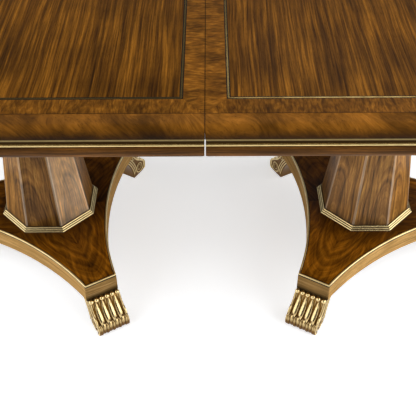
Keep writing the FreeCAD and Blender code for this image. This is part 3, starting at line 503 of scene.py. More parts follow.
@dataclass(frozen=True)
class Brass:
    """Brass that was cast or drawn, polished where it stands proud and left to darken in the hollows.

    It gives soft pale yellow highlights, and faint clouds of tarnish between them.
    """

    name: str
    bright: str
    tarnish: str
    coverage: Coverage = Coverage.EVEN
    roughness: float = 0.24
    dull: float = 0.16
    cloud_mm: float = 14.0
    cloud_span: tuple[float, float] = (0.3, 0.7)
    cloud_share: float = 0.82
    broad_cloud: float = 0.4
    broad_span: tuple[float, float] = (0.25, 0.55)
    broad_share: float = 0.55
    relief_span: tuple[float, float] = (0.1, 0.9)
    # the rim's low bead, and its thin bead: how far under the top its middle is, and half its height
    low_bead_mm: float = 5.16
    thin_bead_mm: tuple[float, float] = (6.72, 3.12)
    thin_bead_share: float = 0.2
    # the collar's fillet, its reeds above it, and where a reed darkens from its middle to the groove
    fillet_mm: float = 3.2
    reed_count: int = 3
    groove_span: tuple[float, float] = (0.3, 0.48)
    groove_share: float = 0.1

    def brightness(self, tree: NodeTree, spot: NodeSocket) -> NodeSocket:
        """Finds how bright the brass is at each place, from 0 to 1.

        Args:
            tree: The material's node tree.
            spot: The place on the piece.

        Returns:
            The share of bright metal.
        """
        if self.coverage is Coverage.RELIEF:
            relief = add(tree, "Attribute", attribute_name="relief").outputs["Fac"]
            return add(tree, "MapRange", {"Value": relief, FROM: self.relief_span},
                       interpolation_type="SMOOTHSTEP").outputs[0]
        height = add(tree, "SeparateXYZ", {0: spot}).outputs["Z"]
        if self.coverage is Coverage.BEADED:
            low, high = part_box("brass_rim_right")
            low_bead = add(tree, "Math", {0: height, 1: low.z + self.low_bead_mm * MM},
                           operation="LESS_THAN")
            under_top, half_height = self.thin_bead_mm
            thin_bead = add(tree, "Math", {0: height, 1: high.z - under_top * MM, 2: half_height * MM},
                            operation="COMPARE")
            thin_share = add(tree, "Math", {0: thin_bead, 1: self.thin_bead_share}, operation="MULTIPLY")
            return add(tree, "Math", {0: low_bead, 1: thin_share}, operation="MAXIMUM").outputs[0]
        if self.coverage is Coverage.REEDED:
            low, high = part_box("column_collar_right")
            start = low.z + self.fillet_mm * MM
            reed = (high.z - start) / self.reed_count
            phase = add(tree, "Math", {0: height, 1: 1 / reed, 2: -start / reed}, operation="MULTIPLY_ADD")
            part = add(tree, "Math", {0: phase}, operation="FRACT")
            off = add(tree, "Math", {0: part, 1: 0.5}, operation="SUBTRACT")
            size = add(tree, "Math", {0: off}, operation="ABSOLUTE")
            return add(tree, "MapRange", {"Value": size, FROM: self.groove_span,
                                          TO: (1.0, self.groove_share)},
                       interpolation_type="SMOOTHSTEP").outputs[0]
        scale = self.broad_cloud / (self.cloud_mm * MM)
        cloud = add(tree, "TexNoise", {"Vector": spot, "Scale": scale, "Detail": 2.0})
        return add(tree, "MapRange", {"Value": cloud, FROM: self.broad_span,
                                      "To Min": self.broad_share}).outputs[0]

    def build(self) -> Material:
        """Makes the material.

        Returns:
            The brass with its tarnish.
        """
        material, tree = new_material(self.name)
        spot = add(tree, "TexCoord").outputs["Object"]
        cloud = add(tree, "TexNoise", {"Vector": spot, "Scale": 1 / (self.cloud_mm * MM), "Detail": 3.0})
        patch = add(tree, "MapRange", {"Value": cloud, FROM: self.cloud_span, "To Min": self.cloud_share})
        share = add(tree, "Math", {0: self.brightness(tree, spot), 1: patch}, operation="MULTIPLY")
        colour = add(tree, "Mix", {"Factor": share, 6: linear(self.tarnish), 7: linear(self.bright)},
                     data_type="RGBA")
        dull = add(tree, "MapRange", {"Value": share, TO: (self.roughness + self.dull, self.roughness)})
        surface = add(tree, "BsdfPrincipled", {"Base Color": colour.outputs[2], "Metallic": 1.0,
                                               "Roughness": dull})
        add(tree, "OutputMaterial", {"Surface": surface})
        return material


@dataclass(frozen=True)
class Metal:
    """Turned or machined ironwork under the top, with fine tool marks and a film of oil."""

    name: str
    colour: str
    roughness: float = 0.35
    mark_mm: float = 1.5
    mark_rough: float = 0.25
    mark_smooth: float = 0.12
    mark_shades: tuple[float, float] = (0.8, 1.2)

    def build(self) -> Material:
        """Makes the material with its tool marks.

        Returns:
            The metal.
        """
        material, tree = new_material(self.name)
        spot = add(tree, "TexCoord").outputs["Object"]
        marks = add(tree, "TexNoise", {"Vector": spot, "Scale": 1 / (self.mark_mm * MM), "Detail": 3.0})
        rough = add(tree, "Math", {0: marks, 1: self.mark_rough, 2: self.roughness - self.mark_smooth},
                    operation="MULTIPLY_ADD")
        shade = add(tree, "MapRange", {"Value": marks, TO: self.mark_shades})
        colour = add(tree, "VectorMath", {0: linear(self.colour)[:3], "Scale": shade}, operation="SCALE")
        surface = add(tree, "BsdfPrincipled", {"Base Color": colour, "Metallic": 1.0, "Roughness": rough})
        add(tree, "OutputMaterial", {"Surface": surface})
        return material


# staves by number, counted from the one that faces the end of the table: those of the left column
# are numbers -9 to -2, those of the right column 9 to 16
# their tones are partly the veneer's own and partly painted light and shade on each face
STAVE_TONES = ((-9, 1.0), (-8, 0.9), (-7, 1.15), (-6, 0.85), (-5, 1.05), (-4, 1.55), (-3, 0.74), (-2, 1.22),
               (9, 0.95), (10, 1.1), (11, 0.85), (12, 1.05), (13, 0.9), (14, 1.2), (15, 1.0), (16, 1.28))
# the veneer leaves of the platforms' legs, numbered -9 to -7 on the left and 9 to 11 on the right; the rear
# legs (-8 and 10) are darkened as painted shade under the top
LEG_TONES = ((-9, 0.85), (-8, 0.66), (-7, 1.06), (9, 0.85), (10, 0.6), (11, 1.08))
# a painted sheen: a pale colour added where the polish would mirror light, and how much of it lies on some
# staves
PAINTED_SHEEN_COLOUR = "f6f0dc"
STAVE_PAINTED_SHEEN = ((-4, 0.21), (-2, 0.02), (14, 0.035), (15, 0.02))
FINISHES: dict[str, Wood | Brass | Metal] = {
    # straight narrow streaks of dark and golden brown under a thin gloss
    "field_walnut": Wood(
        "walnut veneer, French polished, field", "3a2006", "68400e", "9a631c", Lie.ACROSS, streak_mm=5,
        stretch=40, contrast=0.19, figure_mm=120, bend_mm=3, cloud=0.25, vein=0.42, vein_mm=14,
        specular=0.07, coat=0.04),
    # short mottled cross grain that changes tone at the mitres
    "border_walnut": Wood(
        "walnut veneer, French polished, border", "482909", "734712", "9c6620", Lie.MITRED, streak_mm=6,
        stretch=3.5, contrast=0.22, figure_mm=50, bend_mm=8, cloud=0.45, vein=0.25, vein_mm=22,
        tones=((LONG_STRIP, 0.93), (CROSS_STRIP, 1.12)), split_line=True, specular=0.08, coat=0.06),
    # broad soft clouds over the rounded edge, with painted shade darkening it towards its foot
    "moulding_walnut": Wood(
        "figured walnut on a moulded edge, French polished", "4a2a0c", "774a12", "9d6420", Lie.SLANTED,
        streak_mm=6, stretch=7, contrast=0.42, figure_mm=80, bend_mm=26, cloud=0.55, vein=0.25, vein_mm=30,
        split_line=True, toned=(0.725, 0.752, 0.2), specular=0.05, coat=0.06, coat_roughness=0.2),
    # level streaks, dark brown, with a painted highlight along the lower edge
    "rail_walnut": Wood(
        "walnut veneer on a moulded rail, French polished", "362009", "533412", "74491c", Lie.LEVEL,
        streak_mm=5, stretch=30, contrast=0.2, figure_mm=110, bend_mm=3, cloud=0.2, vein=0.35, vein_mm=9,
        toned=(0.676, 0.688, 1.7), specular=0.05, coat=0.05, coat_roughness=0.2),
    # upright staves of differing tone, partly painted light and shade on each face, with arches of dark
    # growth rings, satin, a painted sheen on some staves, a painted highlight on the arrises and painted
    # shade just above the collar
    "column_walnut": Wood(
        "solid walnut, planed and satin polished", "3a210a", "865a26", "b8853e", Lie.UPRIGHT, streak_mm=4.5,
        stretch=30, contrast=0.15, figure_mm=90, bend_mm=6, cloud=0.34, vein=0.52, vein_mm=12, ring_mm=11,
        tones=STAVE_TONES, painted_sheen=STAVE_PAINTED_SHEEN, toned=(0.164, 0.186, 0.6), arris_highlight=0.17, roughness=0.42,
        specular=0.06, coat=0.14, coat_roughness=0.16),
    # dark stain with orange flames that run out along each leg, painted shade round the collar and on the
    # rear legs
    "platform_top_walnut": Wood(
        "flame walnut veneer, stained dark, polished", "341b03", "784709", "ad6d16", Lie.FLAME, streak_mm=9,
        stretch=8, contrast=0.18, figure_mm=60, bend_mm=14, cloud=0.3, vein=0.4, vein_mm=18, ring_mm=13,
        ring_slope=0.4, tones=LEG_TONES, shaded=(0.126, 0.19, 0.4), specular=0.06, coat=0.06),
    # pale level streaks, satin; the pale colour partly stands in for sheen on the sides (painted sheen), with
    # painted shade on the ends of the legs and just above the feet
    "platform_edge_walnut": Wood(
        "walnut veneer on a bent edge, satin", "946c3c", "c3985a", "dfb578", Lie.LEVEL, streak_mm=5,
        stretch=24, contrast=0.2, figure_mm=90, bend_mm=3, cloud=0.14, vein=0.2, vein_mm=9, roughness=0.42,
        toned=(0.096, 0.117, 0.2), toned_beyond=0.344, shaded=(0.347, 0.342, 0.56), specular=0.0,
        coat=0.02, coat_roughness=0.25),
    # near black, with hardly any grain left to see
    "ebonised_line": Wood("pear wood, stained black and polished", "070504", "0f0b08", "19120c", Lie.ALONG,
                          cloud=0.1, vein=0.1),
    # dry and dull, with wide yellow and brown streaks
    "board_wood": Wood("softwood board, planed", "6f5230", "93714a", "ad8a60", Lie.ALONG, streak_mm=12,
                       stretch=24, cloud=0.12, vein=0.2, roughness=0.6, coat=0.0),
    # close even grain, dull
    "bearer_wood": Wood("beech, planed", "7d5c38", "9d7850", "b48f66", Lie.ALONG, streak_mm=7, stretch=16,
                        bend_mm=3, cloud=0.1, vein=0.12, roughness=0.55, coat=0.0),
    # close even grain with a dull shine where the slides rub
    "runner_wood": Wood("beech, planed and waxed", "75542f", "956f46", "ac865b", Lie.ALONG, streak_mm=7,
                        stretch=16, bend_mm=3, cloud=0.1, vein=0.12, roughness=0.5, coat=0.1,
                        coat_roughness=0.4),
    # thin gold line, bright only where it mirrors a lamp
    "brass_inlay": Brass("brass strip, polished flush", "fad88e", "c09a50", roughness=0.16),
    # bright bead under a dull brown band
    "brass_rim": Brass("drawn brass, beads polished, band left dark", "eccf8e", "2a1b08", Coverage.BEADED,
                       roughness=0.2),
    # pale bright line along the platform's edge
    "brass_arris": Brass("drawn brass bead, lacquered", "ecd49a", "9c8048", roughness=0.34),
    # pale reeds with dark lines between them
    "gilt_collar": Brass("cast brass collar, gilt and lacquered", "ecd59c", "3f2d10", Coverage.REEDED,
                         roughness=0.22),
    # long pale highlights on the reeds, warm brown hollows
    "cast_brass": Brass("cast brass, chased and gilt, dark in the hollows", "e2c992", "674614",
                        Coverage.RELIEF, roughness=0.2),
    # soft dull yellow
    "lock_brass": Brass("stamped brass, dull", "b89a5c", "6f5a2c", roughness=0.34),
    # grey with a soft shine
    "steel": Metal("turned steel", "8d8d90", roughness=0.34),
    # near black with an oily shine
    "gear_iron": Metal("machined cast iron, oiled", "3c3c3d", roughness=0.42),
}
# faces of a bar between two points, round its section and along its line
SECTION_STEPS = 5
LINE_STEPS = 6


def deselect() -> None:
    """Leaves nothing selected, so that an operator acts only on the piece in hand."""
    bpy.ops.object.select_all(action="DESELECT")


def bar(line: list[Vector], radii_mm: list[float], flat: float = 1.0, closed: bool = False,
        smooth: bool = True) -> Object:
    """Models a bar of round or oval section whose thickness changes along a line.

    Args:
        line: The points that it follows, in an upright plane if the section is oval.
        radii_mm: Half its width at each point.
        flat: Its thickness over its width.
        closed: Whether it is a ring.
        smooth: Whether it is curved between the points, or straight.

    Returns:
        The bar as a mesh.
    """
    deselect()
    bpy.ops.curve.primitive_bezier_circle_add(radius=MM)
    section = bpy.context.object
    section.data.resolution_u = SECTION_STEPS
    section.scale.y = flat
    bpy.ops.object.transform_apply(location=False, rotation=False, scale=True)
    deselect()
    bpy.ops.curve.primitive_bezier_curve_add()
    made = bpy.context.object
    made.data.bevel_mode = "OBJECT"
    made.data.bevel_object = section
    made.data.resolution_u = LINE_STEPS if smooth else 1
    made.data.use_fill_caps = True
    spline = made.data.splines[0]
    spline.use_cyclic_u = closed
    points = spline.bezier_points
    points.add(len(line) - len(points))
    for point, spot, radius in zip(points, line, radii_mm):
        point.handle_left_type = point.handle_right_type = "AUTO" if smooth else "VECTOR"
        point.co = spot
        point.radius = radius
    bpy.ops.object.convert(target="MESH")
    made = bpy.context.object
    bpy.data.objects.remove(section)
    return made


def join(pieces: list[Object], name: str, smooth_angle: float) -> Object:
    """Joins meshes to one piece and smooths its shading.

    Args:
        pieces: The meshes.
        name: The name of the piece.
        smooth_angle: Edges sharper than this, in degrees, stay crisp.

    Returns:
        The piece.
    """
    deselect()
    for piece in pieces:
        piece.select_set(True)
    bpy.context.view_layer.objects.active = pieces[0]
    if len(pieces) > 1:
        bpy.ops.object.join()
    piece = bpy.context.object
    piece.name = name
    bpy.ops.object.shade_smooth_by_angle(angle=math.radians(smooth_angle))
    return piece


def set_out(pattern: Object, name: str, place: Matrix, half: str, node: str, material: Material) -> Object:
    """Sets a copy of a piece in its place, to stand for a node.

    Args:
        pattern: The piece to copy.
        name: The copy's name.
        place: Where the copy goes.
        half: The half of the table that it rides on.
        node: The node that it stands for.
        material: The finish.

    Returns:
        The copy.
    """
    piece = pattern.copy()
    piece.data = pattern.data.copy()
    piece.data.transform(place)
    piece.data.materials.clear()
    piece.data.materials.append(material)
    piece.name = name
    bpy.context.scene.collection.objects.link(piece)
    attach(piece, f"{half}_half")
    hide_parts(node)
    LOG.info("%s: %d faces", piece.name, len(piece.data.polygons))
    return piece


@dataclass
class Pedestal:
    """The parts of a pedestal that the light shows as rounded: the column's arrises and the brass bead."""

    top_width: float = 0.114
    arris_round: float = 0.0037
    arris_segments: int = 3
    column_crisp: float = 5.0
    bead_crisp: float = 60.0
    bead_radius_mm: float = 2.6
    bead_sink: float = 0.0019
    bead_inset: float = 0.0021
    platform_reach: float = 0.3455
    platform_waist: float = 0.161
    side_radius: float = 0.806
    side_steps: int = 28

    def build_column(self) -> Object:
        """Models the tapered eight-sided column with eased arrises, about its own axis.

        Returns:
            The column.
        """
        low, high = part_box("column_staves_right")
        half_step = math.pi / STAVE_COUNT
        to_corner = 1 / math.cos(half_step)
        deselect()
        bpy.ops.mesh.primitive_cone_add(
            vertices=STAVE_COUNT, radius1=(high.x - low.x) / 2 * to_corner,
            radius2=self.top_width / 2 * to_corner, depth=high.z - low.z,
            location=(0, 0, (low.z + high.z) / 2), rotation=(0, 0, half_step))
        column = bpy.context.object
        bpy.ops.object.transform_apply(location=True, rotation=True, scale=True)
        bpy.ops.object.mode_set(mode="EDIT")
        bpy.ops.mesh.select_all(action="DESELECT")
        bpy.ops.object.mode_set(mode="OBJECT")
        for edge in column.data.edges:
            foot, head = (column.data.vertices[index].co.z for index in edge.vertices)
            edge.select = abs(foot - head) > (high.z - low.z) / 2
        bpy.ops.object.mode_set(mode="EDIT")
        bpy.ops.mesh.select_mode(type="EDGE")
        bpy.ops.mesh.bevel(offset=self.arris_round, segments=self.arris_segments, affect="EDGES")
        bpy.ops.object.mode_set(mode="OBJECT")
        # the arris faces carry the painted highlight of the column's finish
        arris = column.data.attributes.new("arris", "FLOAT", "FACE")
        for face, value in zip(column.data.polygons, arris.data):
            value.value = float(face.area < 2 * self.arris_round * (high.z - low.z))
        return join([column], "column", self.column_crisp)

    def outline(self) -> list[Vector]:
        """Follows the middle of the brass bead, round three flat ends and three hollow sides.

        Returns:
            The points of the line, at the bead's height.
        """
        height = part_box("platform_brass_arris_right")[1].z - self.bead_sink
        hub = self.platform_waist + self.side_radius
        radius = self.side_radius + self.bead_inset
        end = self.platform_reach - self.bead_inset
        half_turn = math.radians(LEG_TURN / 2)
        spread = math.acos((hub * math.cos(half_turn) - end) / radius) - half_turn
        points = []
        for _, turn in LEGS:
            middle = math.radians(turn) + half_turn
            for step in range(self.side_steps + 1):
                way = middle + math.pi + spread * (1 - 2 * step / self.side_steps)
                points.append(Vector((hub * math.cos(middle) + radius * math.cos(way),
                                      hub * math.sin(middle) + radius * math.sin(way), height)))
        return points

    def build(self, materials: dict[str, Material]) -> None:
        """Models the column and the bead once, and sets them out under both halves.

        Args:
            materials: The finish of each slot.
        """
        column = self.build_column()
        line = self.outline()
        radii = [self.bead_radius_mm] * len(line)
        bead = join([bar(line, radii, closed=True, smooth=False)], "bead", self.bead_crisp)
        for half, side in HALVES:
            turn = Matrix.Rotation(0 if side > 0 else math.pi, 4, "Z")
            place = Matrix.Translation((side * PEDESTAL_X, 0, 0)) @ turn
            piece = set_out(column, f"octagonal_column_{half}", place, half, f"column_staves_{half}",
                            materials["column_walnut"])
            piece = set_out(bead, f"brass_bead_{half}", place, half, f"platform_brass_arris_{half}",
                            materials["brass_arris"])
        bpy.data.objects.remove(column)
        bpy.data.objects.remove(bead)


@dataclass
class ScrollFoot:
    """A cast scroll foot: a row of beads, leaves and ribs down its front to the toes, spiral sides."""

    core_width: float = 0.083
    core_proud: float = 0.0004
    worn_edge: float = 0.0008
    crisp: float = 40.0
    top: float = 0.092
    back: float = 0.2995
    heel: float = 0.341
    heel_hollow: float = 0.009
    heel_steps: int = 7
    heel_ribs: tuple[float, ...] = (0.0045, 0.0115, 0.0185)
    rib_radius_mm: float = 2.3
    knob_out: float = 0.3529
    knob_radius: float = 0.0069
    knob_count: int = 6
    knob_pitch: float = 0.0146
    dimple_start: float = 0.85
    dimple_rim: float = 0.0006
    dimple_depth: float = 0.0004
    leaf_count: int = 4
    leaf_pitch: float = 0.0176
    strip_out: float = 0.0403
    eye: tuple[float, float] = (0.3715, 0.0285)
    scroll_start: float = 0.0255
    scroll_shrink: float = 0.925
    scroll_steps: int = 19
    scroll_from: float = 60.0
    scroll_turn: float = 45.0
    scroll_mm: float = 2.9
    lead_in: tuple[tuple[float, float], ...] = (
        (0.3475, 0.0865), (0.3525, 0.0765), (0.3600, 0.0665), (0.3705, 0.0570))
    lead_in_mm: tuple[float, ...] = (2.4, 2.6, 2.8, 2.9)
    curl_at: tuple[float, float] = (0.3425, 0.0815)
    curl_radius: float = 0.0055
    curl_steps: int = 8
    curl_mm: float = 2.0
    spine: tuple[tuple[float, float], ...] = (
        (0.3520, 0.0880), (0.3592, 0.0782), (0.3631, 0.0693), (0.3710, 0.0589), (0.3795, 0.0501),
        (0.3890, 0.0424), (0.3985, 0.0371), (0.4017, 0.0192), (0.3973, 0.0085), (0.3905, 0.0060))
    leaf_mm: tuple[float, ...] = (3.0, 5.2, 6.6, 7.5, 7.8, 7.3, 6.0, 5.0, 4.4, 3.8)
    leaf_flat: float = 0.6
    strip_mm: tuple[float, ...] = (3.2, 3.3, 3.4, 3.5, 3.5, 3.5, 3.6, 4.2, 4.6, 4.2)
    rib_mm: tuple[float, ...] = (2.6, 2.4, 1.4, 1.3, 1.3, 1.5, 3.6, 4.8, 4.8, 4.2)
    rib_flat: float = 0.85
    # where the polish begins over the front and over the sides, and the further rise to full polish
    front_polish: tuple[float, float] = (0.0006, 0.0042)
    side_polish: tuple[float, float] = (-0.0003, 0.0026)
    side_share: float = 0.7
    # the toes darken towards the floor: their share of bright metal, the height where it begins to grow, and
    # the further rise to full brightness
    toe_share: float = 0.12
    toe_zone: tuple[float, float] = (0.022, 0.024)

    def core_outline(self) -> list[tuple[float, float]]:
        """Draws the side view of the block behind the leaves, as distance out and height.

        Returns:
            The corners.
        """
        front = [(out + self.core_proud, height) for out, height in self.spine[1:]]
        return [(self.back, self.top), (self.spine[0][0], self.top), *front, (front[-1][0], 0.0),
                *self.heel_line(0.0)[:-1]]

    def heel_line(self, inset: float) -> list[tuple[float, float]]:
        """Follows the hollow heel from the floor to the platform, as distance out and height.

        Args:
            inset: How far inside the heel the line runs.

        Returns:
            The points of the line.
        """
        foot, way = Vector((self.heel, 0.0)), Vector((self.back - self.heel, self.top))
        inward = Vector((way.y, -way.x)).normalized()
        shares = [step / self.heel_steps for step in range(self.heel_steps + 1)]
        line = [foot + way * share + inward * (4 * share * (1 - share) * self.heel_hollow + inset)
                for share in shares]
        return [(spot.x, spot.y) for spot in line]

    def build_core(self) -> Object:
        """Models the block behind the leaves from its side view, with worn edges.

        Returns:
            The block.
        """
        outline = self.core_outline()
        deselect()
        bpy.ops.mesh.primitive_circle_add(vertices=len(outline), fill_type="NGON")
        core = bpy.context.object
        for vertex, (out, height) in zip(core.data.vertices, outline):
            vertex.co = (out, -self.core_width / 2, height)
        bpy.ops.object.mode_set(mode="EDIT")
        bpy.ops.mesh.select_all(action="SELECT")
        bpy.ops.mesh.extrude_region_move(TRANSFORM_OT_translate={"value": (0, self.core_width, 0)})
        bpy.ops.mesh.select_all(action="SELECT")
        bpy.ops.mesh.normals_make_consistent(inside=False)
        bpy.ops.object.mode_set(mode="OBJECT")
        bevel = core.modifiers.new("worn edge", "BEVEL")
        bevel.width = self.worn_edge
        bevel.segments = 1
        bpy.ops.object.modifier_apply(modifier=bevel.name)
        return core

    def build_knob(self, across: float) -> Object:
        """Models a bead of the top row, with a flat dimple on its upper side.

        Args:
            across: The bead's place across the foot.

        Returns:
            The bead.
        """
        deselect()
        bpy.ops.mesh.primitive_uv_sphere_add(segments=20, ring_count=12, radius=self.knob_radius,
                                             location=(self.knob_out, across, self.top))
        knob = bpy.context.object
        bpy.ops.object.mode_set(mode="EDIT")
        bpy.ops.mesh.select_all(action="DESELECT")
        bpy.ops.object.mode_set(mode="OBJECT")
        for face in knob.data.polygons:
            face.select = face.center.z > self.knob_radius * self.dimple_start
        bpy.ops.object.mode_set(mode="EDIT")
        bpy.ops.mesh.inset(thickness=self.dimple_rim, depth=-self.dimple_depth)
        bpy.ops.object.mode_set(mode="OBJECT")
        bpy.ops.object.transform_apply(location=True, rotation=True, scale=True)
        return knob

    def build_front(self) -> list[Object]:
        """Models the beads, leaves, ribs and edge strips of the front.

        Returns:
            The pieces.
        """
        def run(across: float, radii: tuple[float, ...], flat: float) -> Object:
            """Runs a bar down the spine."""
            return bar([Vector((out, across, height)) for out, height in self.spine], list(radii), flat)

        made = []
        for index in range(self.knob_count):
            made.append(self.build_knob(self.knob_pitch * (index - (self.knob_count - 1) / 2)))
        for index in range(self.leaf_count):
            across = self.leaf_pitch * (index - (self.leaf_count - 1) / 2)
            made.append(run(across, self.leaf_mm, self.leaf_flat))
        for index in range(self.leaf_count + 1):
            made.append(run(self.leaf_pitch * (index - self.leaf_count / 2), self.rib_mm, self.rib_flat))
        return [*made, *[run(side * self.strip_out, self.strip_mm, self.rib_flat) for side in (-1, 1)]]

    def build_scroll(self, side: int) -> list[Object]:
        """Models the band that winds up in a spiral on a side, the curl above it and the ribs of the heel.

        Args:
            side: 1 or -1, the side of the foot.

        Returns:
            The pieces.
        """
        face = side * self.core_width / 2
        line = [Vector((out, face, height)) for out, height in self.lead_in]
        thickness = list(self.lead_in_mm)
        for step in range(self.scroll_steps):
            turn = math.radians(self.scroll_from - self.scroll_turn * step)
            reach = self.scroll_start * self.scroll_shrink ** step
            line.append(Vector((self.eye[0] + reach * math.cos(turn), face,
                                self.eye[1] + reach * math.sin(turn))))
            thickness.append(self.scroll_mm * self.scroll_shrink ** (step / 2))
        turns = [2 * math.pi * step / self.curl_steps for step in range(self.curl_steps)]
        curl = [Vector((self.curl_at[0] + self.curl_radius * math.cos(turn), face,
                        self.curl_at[1] + self.curl_radius * math.sin(turn))) for turn in turns]
        made = [bar(line, thickness), bar(curl, [self.curl_mm] * len(curl), closed=True)]
        for inset in self.heel_ribs:
            rib = [Vector((out, face, height)) for out, height in self.heel_line(inset)[1:-1]]
            made.append(bar(rib, [self.rib_radius_mm] * len(rib)))
        return made

    def height_over_core(self, spot: Vector) -> float:
        """Measures how far a point stands out in front of the spine, in metres.

        Args:
            spot: A point of the foot.

        Returns:
            The distance, below zero behind the spine.
        """
        best, height = math.inf, 0.0
        flat = Vector((spot.x, spot.z))
        for low, high in zip(self.spine, self.spine[1:]):
            start, way = Vector(low), Vector(high) - Vector(low)
            share = limited((flat - start).dot(way) / way.length_squared)
            gap = flat - start - way * share
            if gap.length < best:
                best = gap.length
                height = gap.dot(Vector((-way.y, way.x)).normalized())
        return height

    def mark_relief(self, foot: Object) -> None:
        """Stores on each vertex how proud it stands, for the polish to follow.

        Args:
            foot: The joined foot.
        """
        relief = foot.data.attributes.new("relief", "FLOAT", "POINT")
        for vertex, value in zip(foot.data.vertices, relief.data):
            proud = self.height_over_core(vertex.co), abs(vertex.co.y) - self.core_width / 2, vertex.co.z
            front, side, rise = ((height - start) / span for height, (start, span) in zip(
                proud, (self.front_polish, self.side_polish, self.toe_zone)))
            toe = self.toe_share + (1 - self.toe_share) * limited(rise)
            value.value = limited(max(toe * front, self.side_share * side))

    def build(self, material: Material) -> None:
        """Models the foot at the pedestal's axis, pointing along X, and sets out its six copies.

        Args:
            material: The feet's finish.
        """
        pieces = [self.build_core(), *self.build_front(), *self.build_scroll(-1), *self.build_scroll(1)]
        foot = join(pieces, "foot", self.crisp)
        for vertex in foot.data.vertices:
            vertex.co.z = max(vertex.co.z, 0.0)
        self.mark_relief(foot)
        for half, side in HALVES:
            for leg, turn in LEGS:
                facing = math.radians(turn if side > 0 else 180 - turn)
                place = Matrix.Translation((side * PEDESTAL_X, 0, 0)) @ Matrix.Rotation(facing, 4, "Z")
                piece = set_out(foot, f"leafed_scroll_foot_{leg}_{half}", place, half,
                                f"scroll_foot_{leg}_{half}", material)
        bpy.data.objects.remove(foot)


@dataclass
class Joinery:
    """The pieces that come from the workshop drawing, each dressed in its finish."""

    finishes: dict[str, Wood | Brass | Metal]

    def dress(self) -> dict[str, Material]:
        """Makes each finish and assigns it to the pieces that carry its slot.

        Returns:
            The material of each slot.
        """
        made: dict[str, Material] = {}
        for part in frame["record"]["subparts"]:
            slot_name = part["material_slot"]
            if slot_name not in made:
                made[slot_name] = self.finishes[slot_name].build()
            for slot in frame["nodes"][part["node"]].material_slots:
                slot.material = made[slot_name]
            LOG.info("%s: %s", part["node"], made[slot_name].name)
        return made


@dataclass
class Lamp:
    """One soft box of the studio."""

    name: str
    place: tuple[float, float, float]
    aim: tuple[float, float, float]
    width: float
    height: float
    power: float

    def build(self) -> None:
        """Hangs the lamp and turns it to its aim."""
        data = bpy.data.lights.new(self.name, "AREA")
        data.shape = "RECTANGLE"
        data.size, data.size_y = self.width, self.height
        data.energy = self.power
        lamp = bpy.data.objects.new(self.name, data)
        lamp.location = self.place
        lamp.rotation_euler = (Vector(self.aim) - Vector(self.place)).to_track_quat("-Z", "Y").to_euler()
        bpy.context.scene.collection.objects.link(lamp)


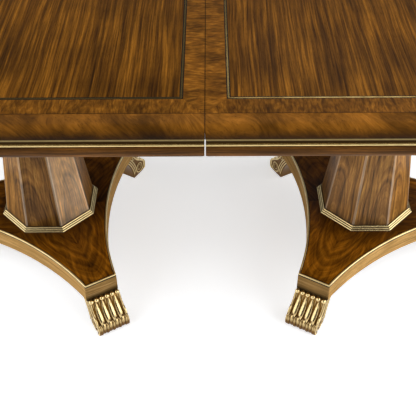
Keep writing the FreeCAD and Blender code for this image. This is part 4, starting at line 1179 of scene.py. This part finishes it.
@dataclass
class Studio:
    """White paper floor, soft boxes and the camera at the photograph's place."""

    floor_side: float = 24.0
    floor_drop: float = 0.3 * MM
    paper: str = "ecf0f4"
    paper_lift: float = 0.575
    sky: str = "ffffff"
    sky_strength: float = 0.06
    wall_lift: float = 0.66
    wall_rise: tuple[float, float] = (0.15, 0.4)
    camera_place: tuple[float, float, float] = (0.0104, -1.5416, 1.5631)
    sensor_width: float = 36.0
    focal_px: float = 731.64
    yaw: float = -0.305
    pitch: float = 43.072
    roll: float = 0.464
    lamps: tuple[Lamp, ...] = (
        Lamp("overhead soft box", (-1.0, -0.9, 3.2), (-1.0, -0.9, 0.7), 6.0, 2.6, 54.0),
        Lamp("left soft box", (-2.4, -1.4, 1.5), (0.0, -0.8, 0.8), 4.0, 2.9, 68.0),
        Lamp("right soft box", (2.4, -1.2, 1.5), (0.0, -0.7, 0.8), 4.0, 2.9, 100.0),
        Lamp("back soft box", (1.5, 2.6, 2.8), (0.4, -0.38, 0.76), 2.8, 0.5, 3.6),
    )

    def seen(self, tree: NodeTree) -> Node:
        """Tells the rays that see the background, straight or in metal and polish, from those that light.

        Args:
            tree: The node tree of the floor or the world.

        Returns:
            1 for a ray that sees the background, 0 for one that lights the object.
        """
        path = add(tree, "LightPath").outputs
        mirrored = add(tree, "Math", {0: path["Is Glossy Ray"], 1: path["Is Transmission Ray"]},
                       operation="MAXIMUM")
        return add(tree, "Math", {0: path["Is Camera Ray"], 1: mirrored}, operation="MAXIMUM")

    def lay_floor(self) -> None:
        """Lays the paper floor as stage, just under the feet."""
        deselect()
        bpy.ops.mesh.primitive_plane_add(size=self.floor_side, location=(0, 0, -self.floor_drop))
        floor = bpy.context.object
        floor.name = "paper_floor"
        material, tree = new_material("seamless paper, matt white")
        matt = add(tree, "BsdfDiffuse", {"Color": linear(self.paper)})
        lift = add(tree, "Math", {0: self.seen(tree), 1: self.paper_lift}, operation="MULTIPLY")
        glow = add(tree, "Emission", {"Color": (1, 1, 1, 1), "Strength": lift})
        both = add(tree, "AddShader", {0: matt, 1: glow})
        add(tree, "OutputMaterial", {"Surface": both})
        floor.data.materials.append(material)

    def light(self) -> None:
        """Sets the even light of the room and hangs the soft boxes."""
        scene = bpy.context.scene
        scene.world = bpy.data.worlds.new("studio")
        scene.world.use_nodes = True
        tree = scene.world.node_tree
        tree.nodes.clear()
        way = add(tree, "TexCoord").outputs["Generated"]
        rise = add(tree, "SeparateXYZ", {0: way}).outputs["Z"]
        wall = add(tree, "MapRange", {"Value": rise, FROM: self.wall_rise, TO: (self.wall_lift, 0.0)})
        white = add(tree, "Math", {0: self.seen(tree), 1: wall}, operation="MULTIPLY")
        strength = add(tree, "Math", {0: white, 1: self.sky_strength}, operation="MAXIMUM")
        air = add(tree, "Background", {"Color": linear(self.sky), "Strength": strength})
        add(tree, "OutputWorld", {"Surface": air})
        for lamp in self.lamps:
            lamp.build()

    def place_camera(self) -> None:
        """Sets the camera at the place and angle of the photograph."""
        yaw, pitch, roll = (math.radians(angle) for angle in (self.yaw, self.pitch, self.roll))
        ahead = Vector((math.sin(yaw) * math.cos(pitch), math.cos(yaw) * math.cos(pitch), -math.sin(pitch)))
        level = Vector((math.cos(yaw), -math.sin(yaw), 0.0))
        down = ahead.cross(level)
        right = level * math.cos(roll) + down * math.sin(roll)
        under = down * math.cos(roll) - level * math.sin(roll)
        turn = Matrix((right, -under, -ahead)).transposed().to_4x4()
        data = bpy.data.cameras.new("camera")
        data.sensor_width = self.sensor_width
        data.lens = self.focal_px / PICTURE_PX * data.sensor_width
        camera = bpy.data.objects.new("camera", data)
        camera.matrix_world = Matrix.Translation(self.camera_place) @ turn
        bpy.context.scene.collection.objects.link(camera)
        bpy.context.scene.camera = camera

    def build(self) -> None:
        """Sets up the floor, the light and the camera."""
        bpy.context.scene.view_settings.view_transform = "Standard"
        self.lay_floor()
        self.light()
        self.place_camera()


def main() -> None:
    """Dresses the joinery, models the pedestals' rounded parts and the feet, and sets up the studio."""
    logging.basicConfig(level=logging.INFO, format="%(message)s")
    materials = Joinery(FINISHES).dress()
    Pedestal().build(materials)
    ScrollFoot().build(materials["cast_brass"])
    Studio().build()


if __name__ == "__main__":
    main()
